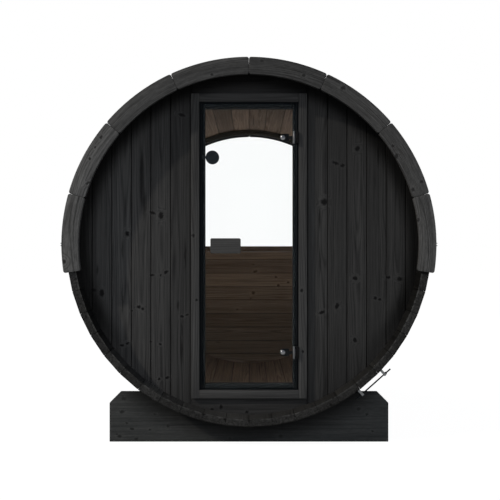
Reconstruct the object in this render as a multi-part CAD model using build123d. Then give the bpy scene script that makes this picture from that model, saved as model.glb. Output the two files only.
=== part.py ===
from build123d import *
import os
from math import asin, cos, degrees, hypot, radians, sin, tan

# Barrel sauna. Millimetres, +Z up, barrel axis along Y, front end towards -Y.
# The origin is on the ground, at the centre of the footprint.

# Shell
STAVE_COUNT = 48
STAVES_PER_GROUP = 6
STAVE_LENGTH = 2194
STAVE_THICKNESS = 42
SHELL_INNER_RADIUS = 963
STAVE_JOINT_GAP = 0.4
STAVE_OUTER_BEVEL = 3
STAVE_INNER_BEVEL = 2

# Grooves in the staves that hold the two end walls
GROOVE_DEPTH = 8
GROOVE_SIDE_PLAY = 0.5

# Curved trim boards on both ends, four to a side
TRIM_THICKNESS = 28
TRIM_OVERHANG = 22
TRIM_WIDTH = 94
TRIM_BOARDS_PER_SIDE = 4
TRIM_BOARD_ANGLE = 24.72
TRIM_JOINT_GAP = 0.8
TRIM_CORNER_RADIUS = 12

# End walls
WALL_THICKNESS = 45
WALL_RECESS = 150
SEAT_GAP = 0.3

# Door frame
FRAME_WIDTH = 654
WALL_OVER_FRAME = 111
WALL_UNDER_FRAME = 95
FRAME_FACE = 47
FRAME_PROUD = 30
REBATE_DEPTH = 15
STOP_WIDTH = 31

# Door leaf
GLASS_THICKNESS = 8
GLASS_SET_BACK = 2
GLASS_SIDE_GAP = 20
GLASS_END_GAP = 10
GLASS_BEVEL = 1

# Wooden handle blocks, one on each face of the glass
HANDLE_WIDTH = 168
HANDLE_HEIGHT = 85
HANDLE_THICKNESS = 28
HANDLE_CORNER_RADIUS = 8
HANDLE_EDGE_BEVEL = 3
HANDLE_FROM_GLASS_EDGE = 129
HANDLE_BELOW_AXIS = 8
HANDLE_NECK_WIDTH = 112
HANDLE_NECK_HEIGHT = 42
HANDLE_NECK_LENGTH = 16

# Round catch on the glass
CATCH_RADIUS = 38
CATCH_THICKNESS = 6
CATCH_FROM_GLASS_EDGE = 54
CATCH_BELOW_FRAME_TOP = 361
CATCH_TONGUE_HEIGHT = 14
CATCH_TONGUE_OVERHANG = 4

# Door hinges
UPPER_HINGE_BELOW_FRAME_TOP = 250
LOWER_HINGE_ABOVE_FRAME_BOTTOM = 260
HINGE_PIN_INSET = 6
HINGE_PIN_FORWARD = 10
HINGE_PIN_RADIUS = 3
HINGE_PIN_PLAY = 0.3
HINGE_BARREL_RADIUS = 8
HINGE_LEAF_HEIGHT = 68
HINGE_LUG_HEIGHT = 13
HINGE_LUG_PLAY = 0.5
HINGE_LEAF_WIDTH = 14
STRAP_THICKNESS = 5
STRAP_PLATE_HEIGHT = 43
STRAP_PLATE_WIDTH = 52
STRAP_NECK_HEIGHT = 17
STRAP_NECK_LENGTH = 28
STRAP_CAP_RADIUS = 17
STRAP_CAP_THICKNESS = 5

# Rear window
WINDOW_RIM = 38
WINDOW_REBATE = 11
WINDOW_REBATE_FROM_INSIDE = 18
WINDOW_RAIL_HEIGHT = 45
BEAD_SET_IN = 3

# Steel bands and tensioners
BAND_WIDTH = 24
BAND_THICKNESS = 1.6
BAND_FROM_END = 100
SPLICE_GAP = 8
SPLICE_PLATE_THICKNESS = 5
SPLICE_REACH = 46
SPLICE_BOLT_RADIUS = 5
SPLICE_BOLT_LENGTH = 36
SPLICE_HEAD_RADIUS = 9
SPLICE_HEAD_HEIGHT = 6
TENSIONER_ANGLE = -48.3
TENSIONER_LIFT = 41
LUG_SPACING = 167
LUG_THICKNESS = 14
LUG_BORE_PLAY = 0.3
ROD_RADIUS = 4
ROD_LENGTH = 256
NUT_RADIUS = 7.5
NUT_THICKNESS = 7

# Cradles
CRADLE_UNDER_BARREL = 130
CRADLE_WIDTH = 1606
CRADLE_HEIGHT = 284
CRADLE_THICKNESS = 48
CRADLE_CHAMFER = 60
CRADLE_FROM_END = 210

# Places worked out from the sizes above
HALF_STAVE_ANGLE = 180 / STAVE_COUNT
SHELL_OUTER_RADIUS = SHELL_INNER_RADIUS + STAVE_THICKNESS
AXIS_HEIGHT = SHELL_OUTER_RADIUS + CRADLE_UNDER_BARREL
TRIM_OUTER_RADIUS = SHELL_OUTER_RADIUS + TRIM_OVERHANG
STAVE_END_Y = STAVE_LENGTH / 2
END_Y = STAVE_END_Y + TRIM_THICKNESS
WALL_OUTER_Y = END_Y - WALL_RECESS
WALL_INNER_Y = WALL_OUTER_Y - WALL_THICKNESS
WALL_RADIUS = SHELL_INNER_RADIUS + GROOVE_DEPTH - GROOVE_SIDE_PLAY
WINDOW_RADIUS = SHELL_INNER_RADIUS - WINDOW_RIM
FRAME_FACE_Y = -WALL_OUTER_Y - FRAME_PROUD
STOP_FACE_Y = FRAME_FACE_Y + REBATE_DEPTH
FRAME_BACK_Y = -WALL_INNER_Y
FRAME_TOP = SHELL_INNER_RADIUS - WALL_OVER_FRAME
FRAME_BOTTOM = WALL_UNDER_FRAME - SHELL_INNER_RADIUS
FRAME_HALF = FRAME_WIDTH / 2
OPENING_HALF = FRAME_HALF - FRAME_FACE
OPENING_TOP = FRAME_TOP - FRAME_FACE
OPENING_BOTTOM = FRAME_BOTTOM + FRAME_FACE
GLASS_FRONT_Y = FRAME_FACE_Y + GLASS_SET_BACK
GLASS_BACK_Y = GLASS_FRONT_Y + GLASS_THICKNESS
GLASS_HALF = OPENING_HALF - GLASS_SIDE_GAP
GLASS_TOP = OPENING_TOP - GLASS_END_GAP
GLASS_BOTTOM = OPENING_BOTTOM + GLASS_END_GAP
HINGE_X = GLASS_HALF - HINGE_PIN_INSET
HINGE_Y = GLASS_FRONT_Y - HINGE_PIN_FORWARD
HANDLE_X = HANDLE_FROM_GLASS_EDGE - GLASS_HALF
CATCH_X = CATCH_FROM_GLASS_EDGE - GLASS_HALF
CATCH_Z = FRAME_TOP - CATCH_BELOW_FRAME_TOP
BIG = 4 * SHELL_OUTER_RADIUS


def half_stave_width(radius):
    """Half of a stave's width at this distance from the barrel axis."""
    return radius * tan(radians(HALF_STAVE_ANGLE)) - STAVE_JOINT_GAP / 2


STAVE_CORNER_RADIUS = hypot(half_stave_width(SHELL_OUTER_RADIUS) - STAVE_OUTER_BEVEL, SHELL_OUTER_RADIUS)
SEAT_RADIUS = STAVE_CORNER_RADIUS + SEAT_GAP


def slab(face, y_front, y_back):
    """Extrude a face drawn in x and z about the barrel axis between two y values."""
    plane = Plane((0, y_back, AXIS_HEIGHT), x_dir=(1, 0, 0), z_dir=(0, -1, 0))
    return extrude(plane * face, amount=y_back - y_front)


def rectangle(x_low, x_high, z_low, z_high):
    """A face between these limits."""
    centre = Pos((x_low + x_high) / 2, (z_low + z_high) / 2)
    return centre * Rectangle(x_high - x_low, z_high - z_low)


def block(x_limits, y_limits, z_limits):
    """A square block between these limits, with z measured from the barrel axis."""
    return slab(rectangle(*x_limits, *z_limits), *y_limits)


def save(name, *solids):
    """Write one node, as separate solids where there are several."""
    shape = solids[0] if len(solids) == 1 else Compound(children=list(solids))
    export_step(shape, f"parts/{name}.step")


def stave():
    """One stave at the top of the barrel, bevelled, with a groove for each end wall."""
    inner, outer = SHELL_INNER_RADIUS, SHELL_OUTER_RADIUS
    right_side = [
        (half_stave_width(inner) - STAVE_INNER_BEVEL, inner),
        (half_stave_width(inner + STAVE_INNER_BEVEL), inner + STAVE_INNER_BEVEL),
        (half_stave_width(outer - STAVE_OUTER_BEVEL), outer - STAVE_OUTER_BEVEL),
        (half_stave_width(outer) - STAVE_OUTER_BEVEL, outer),
    ]
    left_side = [(-x, z) for x, z in reversed(right_side)]
    board = slab(Polygon(*right_side, *left_side, align=None), -STAVE_END_Y, STAVE_END_Y)
    reach = half_stave_width(outer)
    for end in (-1, 1):
        groove_y = sorted((
            end * (WALL_OUTER_Y + GROOVE_SIDE_PLAY),
            end * (WALL_INNER_Y - GROOVE_SIDE_PLAY),
        ))
        board -= block((-reach, reach), groove_y, (0, inner + GROOVE_DEPTH))
    return board


def turned(shape, angle):
    """Turn a shape clockwise about the barrel axis, seen from the front."""
    centre = Axis((0, 0, AXIS_HEIGHT), (0, 1, 0))
    return shape.rotate(centre, angle)


def make_staves():
    board = stave()
    step = 2 * HALF_STAVE_ANGLE
    per_side = STAVE_COUNT // 2
    heights = ["top", "upper", "lower", "bottom"]
    for side, sign in (("right", 1), ("left", -1)):
        for number, height in enumerate(heights):
            first = number * STAVES_PER_GROUP
            last = min(first + STAVES_PER_GROUP, per_side)
            boards = [turned(board, sign * (i + 0.5) * step) for i in range(first, last)]
            save(f"staves_{height}_{side}", *boards)


def trim_board():
    """One curved trim board at the top of the front end."""
    outer = TRIM_OUTER_RADIUS
    inner = outer - TRIM_WIDTH
    half_angle = TRIM_BOARD_ANGLE / 2 - degrees(TRIM_JOINT_GAP / 2 / outer)

    def at(radius, angle):
        return (radius * sin(radians(angle)), radius * cos(radians(angle)))

    outline = [
        ThreePointArc(at(outer, -half_angle), at(outer, 0), at(outer, half_angle)),
        Line(at(outer, half_angle), at(inner, half_angle)),
        ThreePointArc(at(inner, half_angle), at(inner, 0), at(inner, -half_angle)),
        Line(at(inner, -half_angle), at(outer, -half_angle)),
    ]
    face = make_face(outline)
    face = fillet(face.vertices(), TRIM_CORNER_RADIUS)
    return slab(face, -END_Y, -STAVE_END_Y)


def make_trim():
    front = trim_board()
    rear = front.rotate(Axis((0, 0, 0), (0, 0, 1)), 180)
    for end, board in (("front", front), ("rear", rear)):
        for side, sign in (("right", 1), ("left", -1)):
            angles = [sign * (i + 0.5) * TRIM_BOARD_ANGLE for i in range(TRIM_BOARDS_PER_SIDE)]
            save(f"trim_{end}_{side}", *[turned(board, angle) for angle in angles])


def make_front_wall():
    disc = Circle(WALL_RADIUS)
    limits = {
        "front_wall_left": rectangle(-BIG, -FRAME_HALF, -BIG, BIG),
        "front_wall_right": rectangle(FRAME_HALF, BIG, -BIG, BIG),
        "front_wall_over_door": rectangle(-FRAME_HALF, FRAME_HALF, FRAME_TOP, BIG),
        "front_wall_under_door": rectangle(-FRAME_HALF, FRAME_HALF, -BIG, FRAME_BOTTOM),
    }
    for name, limit in limits.items():
        save(name, slab(disc & limit, -WALL_OUTER_Y, -WALL_INNER_Y))


def make_door_frame():
    depth = (FRAME_FACE_Y, FRAME_BACK_Y)
    stop_depth = (STOP_FACE_Y, FRAME_BACK_Y)
    height = (FRAME_BOTTOM, FRAME_TOP)
    width = (-OPENING_HALF, OPENING_HALF)
    save("door_jamb_left", block((-FRAME_HALF, -OPENING_HALF), depth, height))
    save("door_jamb_right", block((OPENING_HALF, FRAME_HALF), depth, height))
    save("door_head", block(width, depth, (OPENING_TOP, FRAME_TOP)))
    save("door_sill", block(width, depth, (FRAME_BOTTOM, OPENING_BOTTOM)))
    inner_half = OPENING_HALF - STOP_WIDTH
    between = (-inner_half + SEAT_GAP, inner_half - SEAT_GAP)
    upright = (OPENING_BOTTOM, OPENING_TOP)
    save(
        "door_stops",
        block((-OPENING_HALF, -inner_half), stop_depth, upright),
        block((inner_half, OPENING_HALF), stop_depth, upright),
        block(between, stop_depth, (OPENING_TOP - STOP_WIDTH, OPENING_TOP)),
        block(between, stop_depth, (OPENING_BOTTOM, OPENING_BOTTOM + STOP_WIDTH)),
    )


def make_door_leaf():
    pane = block((-GLASS_HALF, GLASS_HALF), (GLASS_FRONT_Y, GLASS_BACK_Y), (GLASS_BOTTOM, GLASS_TOP))
    save("door_glass", chamfer(pane.edges(), GLASS_BEVEL))
    save("door_handle_outer", handle(GLASS_FRONT_Y, -1))
    save("door_handle_inner", handle(GLASS_BACK_Y, 1))
    save("door_catch", *catch())


def handle(face_y, outwards):
    """A rounded block on a narrower neck, which leaves room for the fingers."""
    neck_y = face_y + outwards * HANDLE_NECK_LENGTH
    grip_y = neck_y + outwards * HANDLE_THICKNESS
    half_w, half_h = HANDLE_WIDTH / 2, HANDLE_HEIGHT / 2
    x, z = HANDLE_X, -HANDLE_BELOW_AXIS
    grip = block((x - half_w, x + half_w), sorted((neck_y, grip_y)), (z - half_h, z + half_h))
    grip = fillet(grip.edges().filter_by(Axis.Y), HANDLE_CORNER_RADIUS)
    for face in (grip.faces().sort_by(Axis.Y)[0], grip.faces().sort_by(Axis.Y)[-1]):
        grip = chamfer(face.edges(), HANDLE_EDGE_BEVEL)
    half_w, half_h = HANDLE_NECK_WIDTH / 2, HANDLE_NECK_HEIGHT / 2
    neck_depth = sorted((face_y, neck_y + outwards * HANDLE_EDGE_BEVEL))
    neck = block((x - half_w, x + half_w), neck_depth, (z - half_h, z + half_h))
    return grip + neck


def catch():
    """A disc on each face of the glass, the outer one with a tongue towards the jamb."""
    disc = Pos(CATCH_X, CATCH_Z) * Circle(CATCH_RADIUS)
    half = CATCH_TONGUE_HEIGHT / 2
    tongue = rectangle(-GLASS_HALF - CATCH_TONGUE_OVERHANG, CATCH_X,
                       CATCH_Z - half, CATCH_Z + half)
    outer = slab(disc, GLASS_FRONT_Y - CATCH_THICKNESS, GLASS_FRONT_Y)
    outer += slab(tongue, GLASS_FRONT_Y - CATCH_THICKNESS / 2, GLASS_FRONT_Y)
    inner = slab(disc, GLASS_BACK_Y, GLASS_BACK_Y + CATCH_THICKNESS)
    return outer, inner


def upright_cylinder(radius, z_low, z_high):
    """A cylinder on the hinge line, with z measured from the barrel axis."""
    base = Plane((HINGE_X, HINGE_Y, AXIS_HEIGHT + z_low))
    return extrude(base * Circle(radius), amount=z_high - z_low)


def hinge_leaf(z):
    """The leaf in the gap beside the glass, with two lugs and the pin between them."""
    half = HINGE_LEAF_HEIGHT / 2
    lug_inner = half - HINGE_LUG_HEIGHT
    front_y = HINGE_Y - HINGE_BARREL_RADIUS
    leaf = block((OPENING_HALF - HINGE_LEAF_WIDTH, OPENING_HALF), (front_y, STOP_FACE_Y), (z - half, z + half))
    for low, high in ((z + lug_inner, z + half), (z - half, z - lug_inner)):
        leaf += upright_cylinder(HINGE_BARREL_RADIUS, low, high)
        lug_y = (front_y, HINGE_Y + HINGE_BARREL_RADIUS)
        leaf += block((HINGE_X, OPENING_HALF), lug_y, (low, high))
    return leaf + upright_cylinder(HINGE_PIN_RADIUS, z - lug_inner, z + lug_inner)


def hinge_strap(z):
    """The knuckle, neck and rounded plate on the glass, and the round cap behind it."""
    knuckle_half = HINGE_LEAF_HEIGHT / 2 - HINGE_LUG_HEIGHT - HINGE_LUG_PLAY
    plate_right = HINGE_X - STRAP_NECK_LENGTH
    radius = STRAP_PLATE_HEIGHT / 2
    plate_left = plate_right - STRAP_PLATE_WIDTH
    outline = rectangle(plate_left + radius, plate_right, z - radius, z + radius)
    outline += Pos(plate_left + radius, z) * Circle(radius)
    outline += rectangle(plate_right - radius, HINGE_X, z - STRAP_NECK_HEIGHT / 2, z + STRAP_NECK_HEIGHT / 2)
    strap = slab(outline, GLASS_FRONT_Y - STRAP_THICKNESS, GLASS_FRONT_Y)
    knuckle = upright_cylinder(HINGE_BARREL_RADIUS, z - knuckle_half, z + knuckle_half)
    bore = upright_cylinder(HINGE_PIN_RADIUS + HINGE_PIN_PLAY, z - HINGE_LEAF_HEIGHT, z + HINGE_LEAF_HEIGHT)
    cap = Pos(plate_left + radius, z) * Circle(STRAP_CAP_RADIUS)
    return strap + knuckle - bore, slab(cap, GLASS_BACK_Y, GLASS_BACK_Y + STRAP_CAP_THICKNESS)


def make_hinges():
    heights = {
        "upper": FRAME_TOP - UPPER_HINGE_BELOW_FRAME_TOP,
        "lower": FRAME_BOTTOM + LOWER_HINGE_ABOVE_FRAME_BOTTOM,
    }
    for name, z in heights.items():
        save(f"hinge_leaf_{name}", hinge_leaf(z))
        save(f"hinge_strap_{name}", *hinge_strap(z))


def half_disc(radius, floor):
    """The part of a disc above this height."""
    return Circle(radius) & rectangle(-BIG, BIG, floor, BIG)


def make_rear_wall():
    disc = Circle(WALL_RADIUS)
    rebate_y = WALL_INNER_Y + WINDOW_REBATE_FROM_INSIDE
    sight = half_disc(WINDOW_RADIUS, 0)
    rebated = half_disc(WINDOW_RADIUS + WINDOW_REBATE, -WINDOW_REBATE)
    below = disc & rectangle(-BIG, BIG, -BIG, -WINDOW_RAIL_HEIGHT)
    save("rear_wall_lower", slab(below, WALL_INNER_Y, WALL_OUTER_Y))
    rail = disc & rectangle(-BIG, BIG, -WINDOW_RAIL_HEIGHT, 0)
    save("rear_window_rail", slab(rail, WALL_INNER_Y, WALL_OUTER_Y) - slab(rebated, rebate_y, WALL_OUTER_Y))
    arch = half_disc(WALL_RADIUS, 0)
    inner_part = slab(arch - sight, WALL_INNER_Y, rebate_y)
    outer_part = slab(arch - rebated, rebate_y, WALL_OUTER_Y)
    save("rear_window_arch", inner_part + outer_part)
    pane = half_disc(WINDOW_RADIUS + WINDOW_REBATE - SEAT_GAP, SEAT_GAP - WINDOW_REBATE)
    glass_y = rebate_y + SEAT_GAP
    bead_y = glass_y + GLASS_THICKNESS + SEAT_GAP
    save("rear_window_glass", slab(pane, glass_y, glass_y + GLASS_THICKNESS))
    save("rear_window_bead", slab(pane - sight, bead_y, WALL_OUTER_Y - BEAD_SET_IN))


def band_point(lift, angle):
    """A point of the band, which lies flat on each stave and bends at each joint."""
    step = 2 * HALF_STAVE_ANGLE
    from_flat_middle = angle % step - HALF_STAVE_ANGLE
    radius = (SHELL_OUTER_RADIUS + lift) / cos(radians(from_flat_middle))
    return (radius * cos(radians(angle)), radius * sin(radians(angle)))


def band_strip(from_angle, to_angle):
    """A stretch of band between two angles, measured anticlockwise from the right."""
    step = 2 * HALF_STAVE_ANGLE
    joints = [i * step for i in range(STAVE_COUNT + 1) if from_angle < i * step < to_angle]
    angles = [from_angle, *joints, to_angle]
    outer = [band_point(SEAT_GAP + BAND_THICKNESS, angle) for angle in angles]
    inner = [band_point(SEAT_GAP, angle) for angle in reversed(angles)]
    return Polygon(*outer, *inner, align=None)


def tensioner_frame():
    """The plane whose x runs along the tensioner rod and whose y points away from the barrel."""
    angle = radians(TENSIONER_ANGLE)
    return Plane((0, 0, AXIS_HEIGHT), x_dir=(sin(angle), 0, -cos(angle)), z_dir=(0, -1, 0))


def splice(sign):
    """Two folded band ends at mid height, drawn together by a bolt."""
    inner = band_point(SEAT_GAP, 0)[0]
    outer = inner + SPLICE_REACH
    y_limits = (-BAND_WIDTH / 2, BAND_WIDTH / 2)
    x_limits = sorted((sign * inner, sign * outer))
    low, high = SPLICE_GAP / 2, SPLICE_GAP / 2 + SPLICE_PLATE_THICKNESS
    plates = block(x_limits, y_limits, (low, high)) + block(x_limits, y_limits, (-high, -low))
    bolt_x = sign * (inner + outer) / 2
    half = SPLICE_BOLT_LENGTH / 2
    base = Plane((bolt_x, 0, AXIS_HEIGHT - half))
    bolt = extrude(base * Circle(SPLICE_BOLT_RADIUS), amount=SPLICE_BOLT_LENGTH)
    for z in (high, -high - SPLICE_HEAD_HEIGHT):
        head = Plane((bolt_x, 0, AXIS_HEIGHT + z))
        bolt += extrude(head * RegularPolygon(SPLICE_HEAD_RADIUS, 6), amount=SPLICE_HEAD_HEIGHT)
    return plates + bolt


def band_at_middle():
    """The steel band round the middle of the barrel, open under the tensioner rod."""
    lug_angle = degrees(asin((LUG_SPACING - LUG_THICKNESS) / 2 / SEAT_RADIUS))
    splice_angle = degrees(asin(SPLICE_GAP / 2 / SEAT_RADIUS))
    stretches = [
        (splice_angle, 180 - splice_angle),
        (180 + splice_angle, 360 + TENSIONER_ANGLE - lug_angle),
        (360 + TENSIONER_ANGLE + lug_angle, 360 - splice_angle),
    ]
    half = BAND_WIDTH / 2
    band = splice(1) + splice(-1)
    for stretch in stretches:
        band += slab(band_strip(*stretch), -half, half)
    rod_height = SEAT_RADIUS + TENSIONER_LIFT
    foot = SEAT_RADIUS * cos(radians(lug_angle))
    for sign in (-1, 1):
        x = sign * LUG_SPACING / 2
        leg = rectangle(x - LUG_THICKNESS / 2, x + LUG_THICKNESS / 2, foot, rod_height + LUG_THICKNESS / 2)
        band += lug_slab(leg)
    bore = rod_along(ROD_RADIUS + LUG_BORE_PLAY, 2 * ROD_LENGTH)
    return band - bore


def lug_slab(face):
    """Extrude a face drawn on the tensioner's plane to the band's width."""
    half = BAND_WIDTH / 2
    plane = tensioner_frame().offset(-half)
    return extrude(plane * face, amount=BAND_WIDTH)


def rod_along(radius, length):
    """A round bar along the tensioner rod's line."""
    frame = tensioner_frame()
    start = frame.from_local_coords(Vector(-length / 2, SEAT_RADIUS + TENSIONER_LIFT, 0))
    return extrude(Plane(start, z_dir=frame.x_dir) * Circle(radius), amount=length)


def tensioner_at_middle():
    """The threaded rod with a nut outside each lug."""
    rod = rod_along(ROD_RADIUS, ROD_LENGTH)
    frame = tensioner_frame()
    nut_start = LUG_SPACING / 2 + LUG_THICKNESS / 2
    for x in (nut_start, -nut_start - NUT_THICKNESS):
        start = frame.from_local_coords(Vector(x, SEAT_RADIUS + TENSIONER_LIFT, 0))
        rod += extrude(Plane(start, z_dir=frame.x_dir) * RegularPolygon(NUT_RADIUS, 6), amount=NUT_THICKNESS)
    return rod


def make_bands():
    band, tensioner = band_at_middle(), tensioner_at_middle()
    reach = END_Y - BAND_FROM_END
    for name, y in (("front", -reach), ("middle", 0), ("rear", reach)):
        save(f"band_{name}", Pos(0, y, 0) * band)
        save(f"tensioner_{name}", Pos(0, y, 0) * tensioner)


def cradle(y_front, y_back):
    """A plank on edge, hollowed for the barrel, with its top corners cut off."""
    half = CRADLE_WIDTH / 2
    top = CRADLE_HEIGHT - AXIS_HEIGHT
    shape = Polygon(
        (-half, -AXIS_HEIGHT), (half, -AXIS_HEIGHT), (half, top - CRADLE_CHAMFER),
        (half - CRADLE_CHAMFER, top), (CRADLE_CHAMFER - half, top), (-half, top - CRADLE_CHAMFER),
        align=None,
    )
    return slab(shape - Circle(SEAT_RADIUS), y_front, y_back)


def make_cradles():
    outer = END_Y - CRADLE_FROM_END
    inner = outer - CRADLE_THICKNESS
    save("cradle_front", cradle(-outer, -inner))
    save("cradle_rear", cradle(inner, outer))


os.makedirs("parts", exist_ok=True)
make_staves()
make_trim()
make_front_wall()
make_door_frame()
make_door_leaf()
make_hinges()
make_rear_wall()
make_bands()
make_cradles()
print(f"door hinge line at x {HINGE_X}, y {HINGE_Y}, z {AXIS_HEIGHT}")
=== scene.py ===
from math import atan, pi, radians
import bmesh
import bpy
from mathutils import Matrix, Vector


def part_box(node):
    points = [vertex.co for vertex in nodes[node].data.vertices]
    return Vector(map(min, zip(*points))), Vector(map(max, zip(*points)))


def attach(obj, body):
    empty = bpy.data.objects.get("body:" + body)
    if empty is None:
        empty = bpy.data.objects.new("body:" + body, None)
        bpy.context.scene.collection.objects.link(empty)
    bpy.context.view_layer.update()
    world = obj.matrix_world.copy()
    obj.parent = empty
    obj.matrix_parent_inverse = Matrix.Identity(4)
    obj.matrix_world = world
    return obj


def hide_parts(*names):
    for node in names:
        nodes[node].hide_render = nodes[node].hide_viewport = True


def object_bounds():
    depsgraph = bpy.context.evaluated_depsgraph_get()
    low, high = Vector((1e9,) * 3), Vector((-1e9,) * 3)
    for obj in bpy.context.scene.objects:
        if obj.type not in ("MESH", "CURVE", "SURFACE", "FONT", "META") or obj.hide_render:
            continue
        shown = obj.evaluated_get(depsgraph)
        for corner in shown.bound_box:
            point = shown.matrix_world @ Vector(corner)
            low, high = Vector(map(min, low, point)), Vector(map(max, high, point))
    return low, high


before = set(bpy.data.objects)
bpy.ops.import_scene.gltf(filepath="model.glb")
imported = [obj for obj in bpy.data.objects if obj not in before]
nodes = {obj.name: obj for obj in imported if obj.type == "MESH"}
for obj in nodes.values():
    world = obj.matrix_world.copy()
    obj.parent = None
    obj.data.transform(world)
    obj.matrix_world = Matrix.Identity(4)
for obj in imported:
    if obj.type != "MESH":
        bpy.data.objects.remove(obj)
cad_low, cad_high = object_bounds()

# The barrel, in metres, taken from the frame where it has the size
AXIS = (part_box("staves_top_left")[1].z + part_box("staves_bottom_left")[0].z) / 2
FRONT_Y = cad_low.y
STAVE_FRONT_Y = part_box("staves_top_left")[0].y
SHELL_INNER = 0.963
STAVE_THICKNESS = 0.042
STAVES = 48

# The end walls and their boards
WALL_FRONT_Y, WALL_BACK_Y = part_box("front_wall_left")[0].y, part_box("front_wall_left")[1].y
WALL_RADIUS = -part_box("front_wall_left")[0].x
BOARD_PITCH = 0.1113
BOARD_GAP = 0.0006
JOINT_BEVEL = 0.0035
PLANK_PITCH = 0.5
# A board ends before a strip narrower than SLIVER, is at least LEAST_BOARD wide, and is cut BEYOND_WALL
SLIVER, LEAST_BOARD, BEYOND_WALL = 0.02, 0.03, 0.05
# The last joint below a height that lies on a joint is the next one down
JUST_BELOW = 0.51

# Tongues in the joints: how deep they are, how thin between the staves, and how far they stop short
WALL_TONGUE_DEPTH, STAVE_TONGUE_DEPTH = 0.012, 0.014
STAVE_TONGUE_WIDTH = 0.00036
WALL_TONGUE_SHORT, STAVE_TONGUE_SHORT = 0.012, 0.002
WALL_JOINTS = 8

# Curved trim boards
TRIM_OUTER = cad_high.z - AXIS
TRIM_WIDTH = 0.094
TRIM_ANGLE = radians(24.72)
TRIM_PER_SIDE = 4
TRIM_GAP = 0.0008
TRIM_CORNER = 0.012

# Door frame, its stops and the rubber bead on them
FRAME_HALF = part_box("door_jamb_right")[1].x
FRAME_LOW, FRAME_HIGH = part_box("door_jamb_right")[0].z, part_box("door_jamb_right")[1].z
STOP_WIDTH, STOP_PLAY = 0.031, 0.0003
SEAL_WIDTH, SEAL_HEIGHT, SEAL_PROUD, SEAL_INSET = 0.006, 0.005, 0.003, 0.0075

# Roundings of the edges
TRIM_EDGE, FRAME_EDGE, STOP_EDGE, SEAL_EDGE, CRADLE_EDGE = 0.0022, 0.0025, 0.0015, 0.0012, 0.003
NECK_EDGE, CAP_EDGE, KNUCKLE_EDGE, BLOCK_EDGE, LUG_EDGE = 0.0012, 0.0015, 0.0008, 0.0018, 0.0014

# Hinges: the plate on the glass, its neck and cap, the barrel, and the block on the jamb
PLATE_WIDTH, PLATE_HEIGHT, PLATE_RIM = 0.052, 0.043, 0.0010
NECK_LENGTH, NECK_HEIGHT, NECK_STEP, NECK_OVERLAP = 0.028, 0.017, 0.004, 0.001
NECK_FROM_PIN = 0.002
STRAP_THICKNESS, CAP_RADIUS, CAP_THICKNESS = 0.005, 0.017, 0.005
BARREL_RADIUS, LUG_HEIGHT, LUG_INSET, LEAF_WIDTH = 0.008, 0.013, 0.001, 0.014
PIN_RADIUS, PIN_PLAY, PIN_OVERLAP = 0.003, 0.0003, 0.001
KNUCKLE_PLAY = 0.0005
BOSS_RADIUS, BOSS_RIM, BOSS_FROM_END, BOSS_FROM_GLASS = 0.014, 0.0012, 0.003, 0.0040
# Domes, from the rim to the middle: how far each ring lies inside the last one, and how far it rises
PLATE_DOME = ((0.0007, 0.0010), (0.0016, 0.0012), (0.0030, 0.0011), (0.0040, 0.0005), (0.0040, 0.00015))
BOSS_DOME = ((0.0008, 0.0012), (0.0020, 0.0016), (0.0030, 0.0013), (0.0040, 0.0008), (0.0025, 0.0002))

# Corners closer than this are merged, and this near a place counts as on it
MERGED = 0.00002
ON_IT, NEAR_IT = 0.00001, 0.0001

# The photograph: 500 pixels square, seen from 4 m in front of the curved trim boards
PHOTO_WIDTH = 500
CAMERA_DISTANCE = 4.0
CAMERA_X, CAMERA_BELOW_AXIS = 0.006, 0.031
METRES_PER_PIXEL = 0.00547
SENSOR = 36.0

# Lights: the way the sun shines, and for each soft light its place and size in metres and its power in watts
SUN_PLACE, SUN_WAY = (-3, -3, 4), (0.248, 0.150, -0.199)
SUN_POWER, SUN_SPREAD, SUN_COLOUR = 2.3, radians(2.5), (1.0, 0.92, 0.80)
SOFT_LIGHTS = {
    "soft_front": ((0, -6.6, 2.3), (8.0, 4.4), 225),
    "soft_back_right": ((5.0, 4.5, 3.6), (5.0, 4.0), 260),
    "soft_back_left": ((-5.0, 4.5, 3.6), (5.0, 4.0), 260),
}
SOFT_COLOUR = (0.94, 0.97, 1.0)
SKY_POWER = 0.25
WHITE = (1, 1, 1, 1)
GROUND_SIZE = 60
GROUND_GLOW, GROUND_GLOW_SHARE = 1.04, 0.93

# Grain of the wood: length and width of one feature in mm. Real fibres are far finer than a pixel, so they
# are drawn as coarse as they need to show
FIBRE, FIBRE_DETAIL, FIBRE_ROUGH = (142.86, 2.381), 3.0, 0.65
STREAK, STREAK_DETAIL, STREAK_ROUGH = (625.0, 13.333), 4.0, 0.6
SAW_MARK, SAW_DETAIL, SAW_ROUGH = (38.462, 7.692), 3.0, 0.7
RESIN = (1111.1, 29.412)
WAVER = (1250.0, 250.0)
PLAIN_DETAIL, PLAIN_ROUGH = 2.0, 0.55
RING_SPACING = 0.0052
# One scattered knot at most to each patch of a board, of this length and width in mm
KNOT_PATCH = (238.1, 181.82)
# Widths in mm of frayed knot edges, end grain, painted highlight patches on an edge, a streak's waver, wear
# and grit
FRAYED, END_GRAIN, LIT_EDGE_PATCH, STREAK_WAVER, WEAR, GRIT = 9.0909, 5.2632, 26.316, 38.462, 16.667, 5.5556
MM = 1000
# The grain of two boards is cut from places this far apart, and so are a front board and a rear one
BOARDS_APART = 50.0
PLANKS_TO_REAR, TRIM_TO_REAR = 3, 17


def linear(hex_colour):
    """A colour written as in sRGB, as Blender's shader sockets need it."""
    parts = [int(hex_colour[i:i + 2], 16) / 255 for i in (1, 3, 5)]
    return [c / 12.92 if c <= 0.04045 else ((c + 0.055) / 1.055) ** 2.4 for c in parts] + [1]


# Camera

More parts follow.
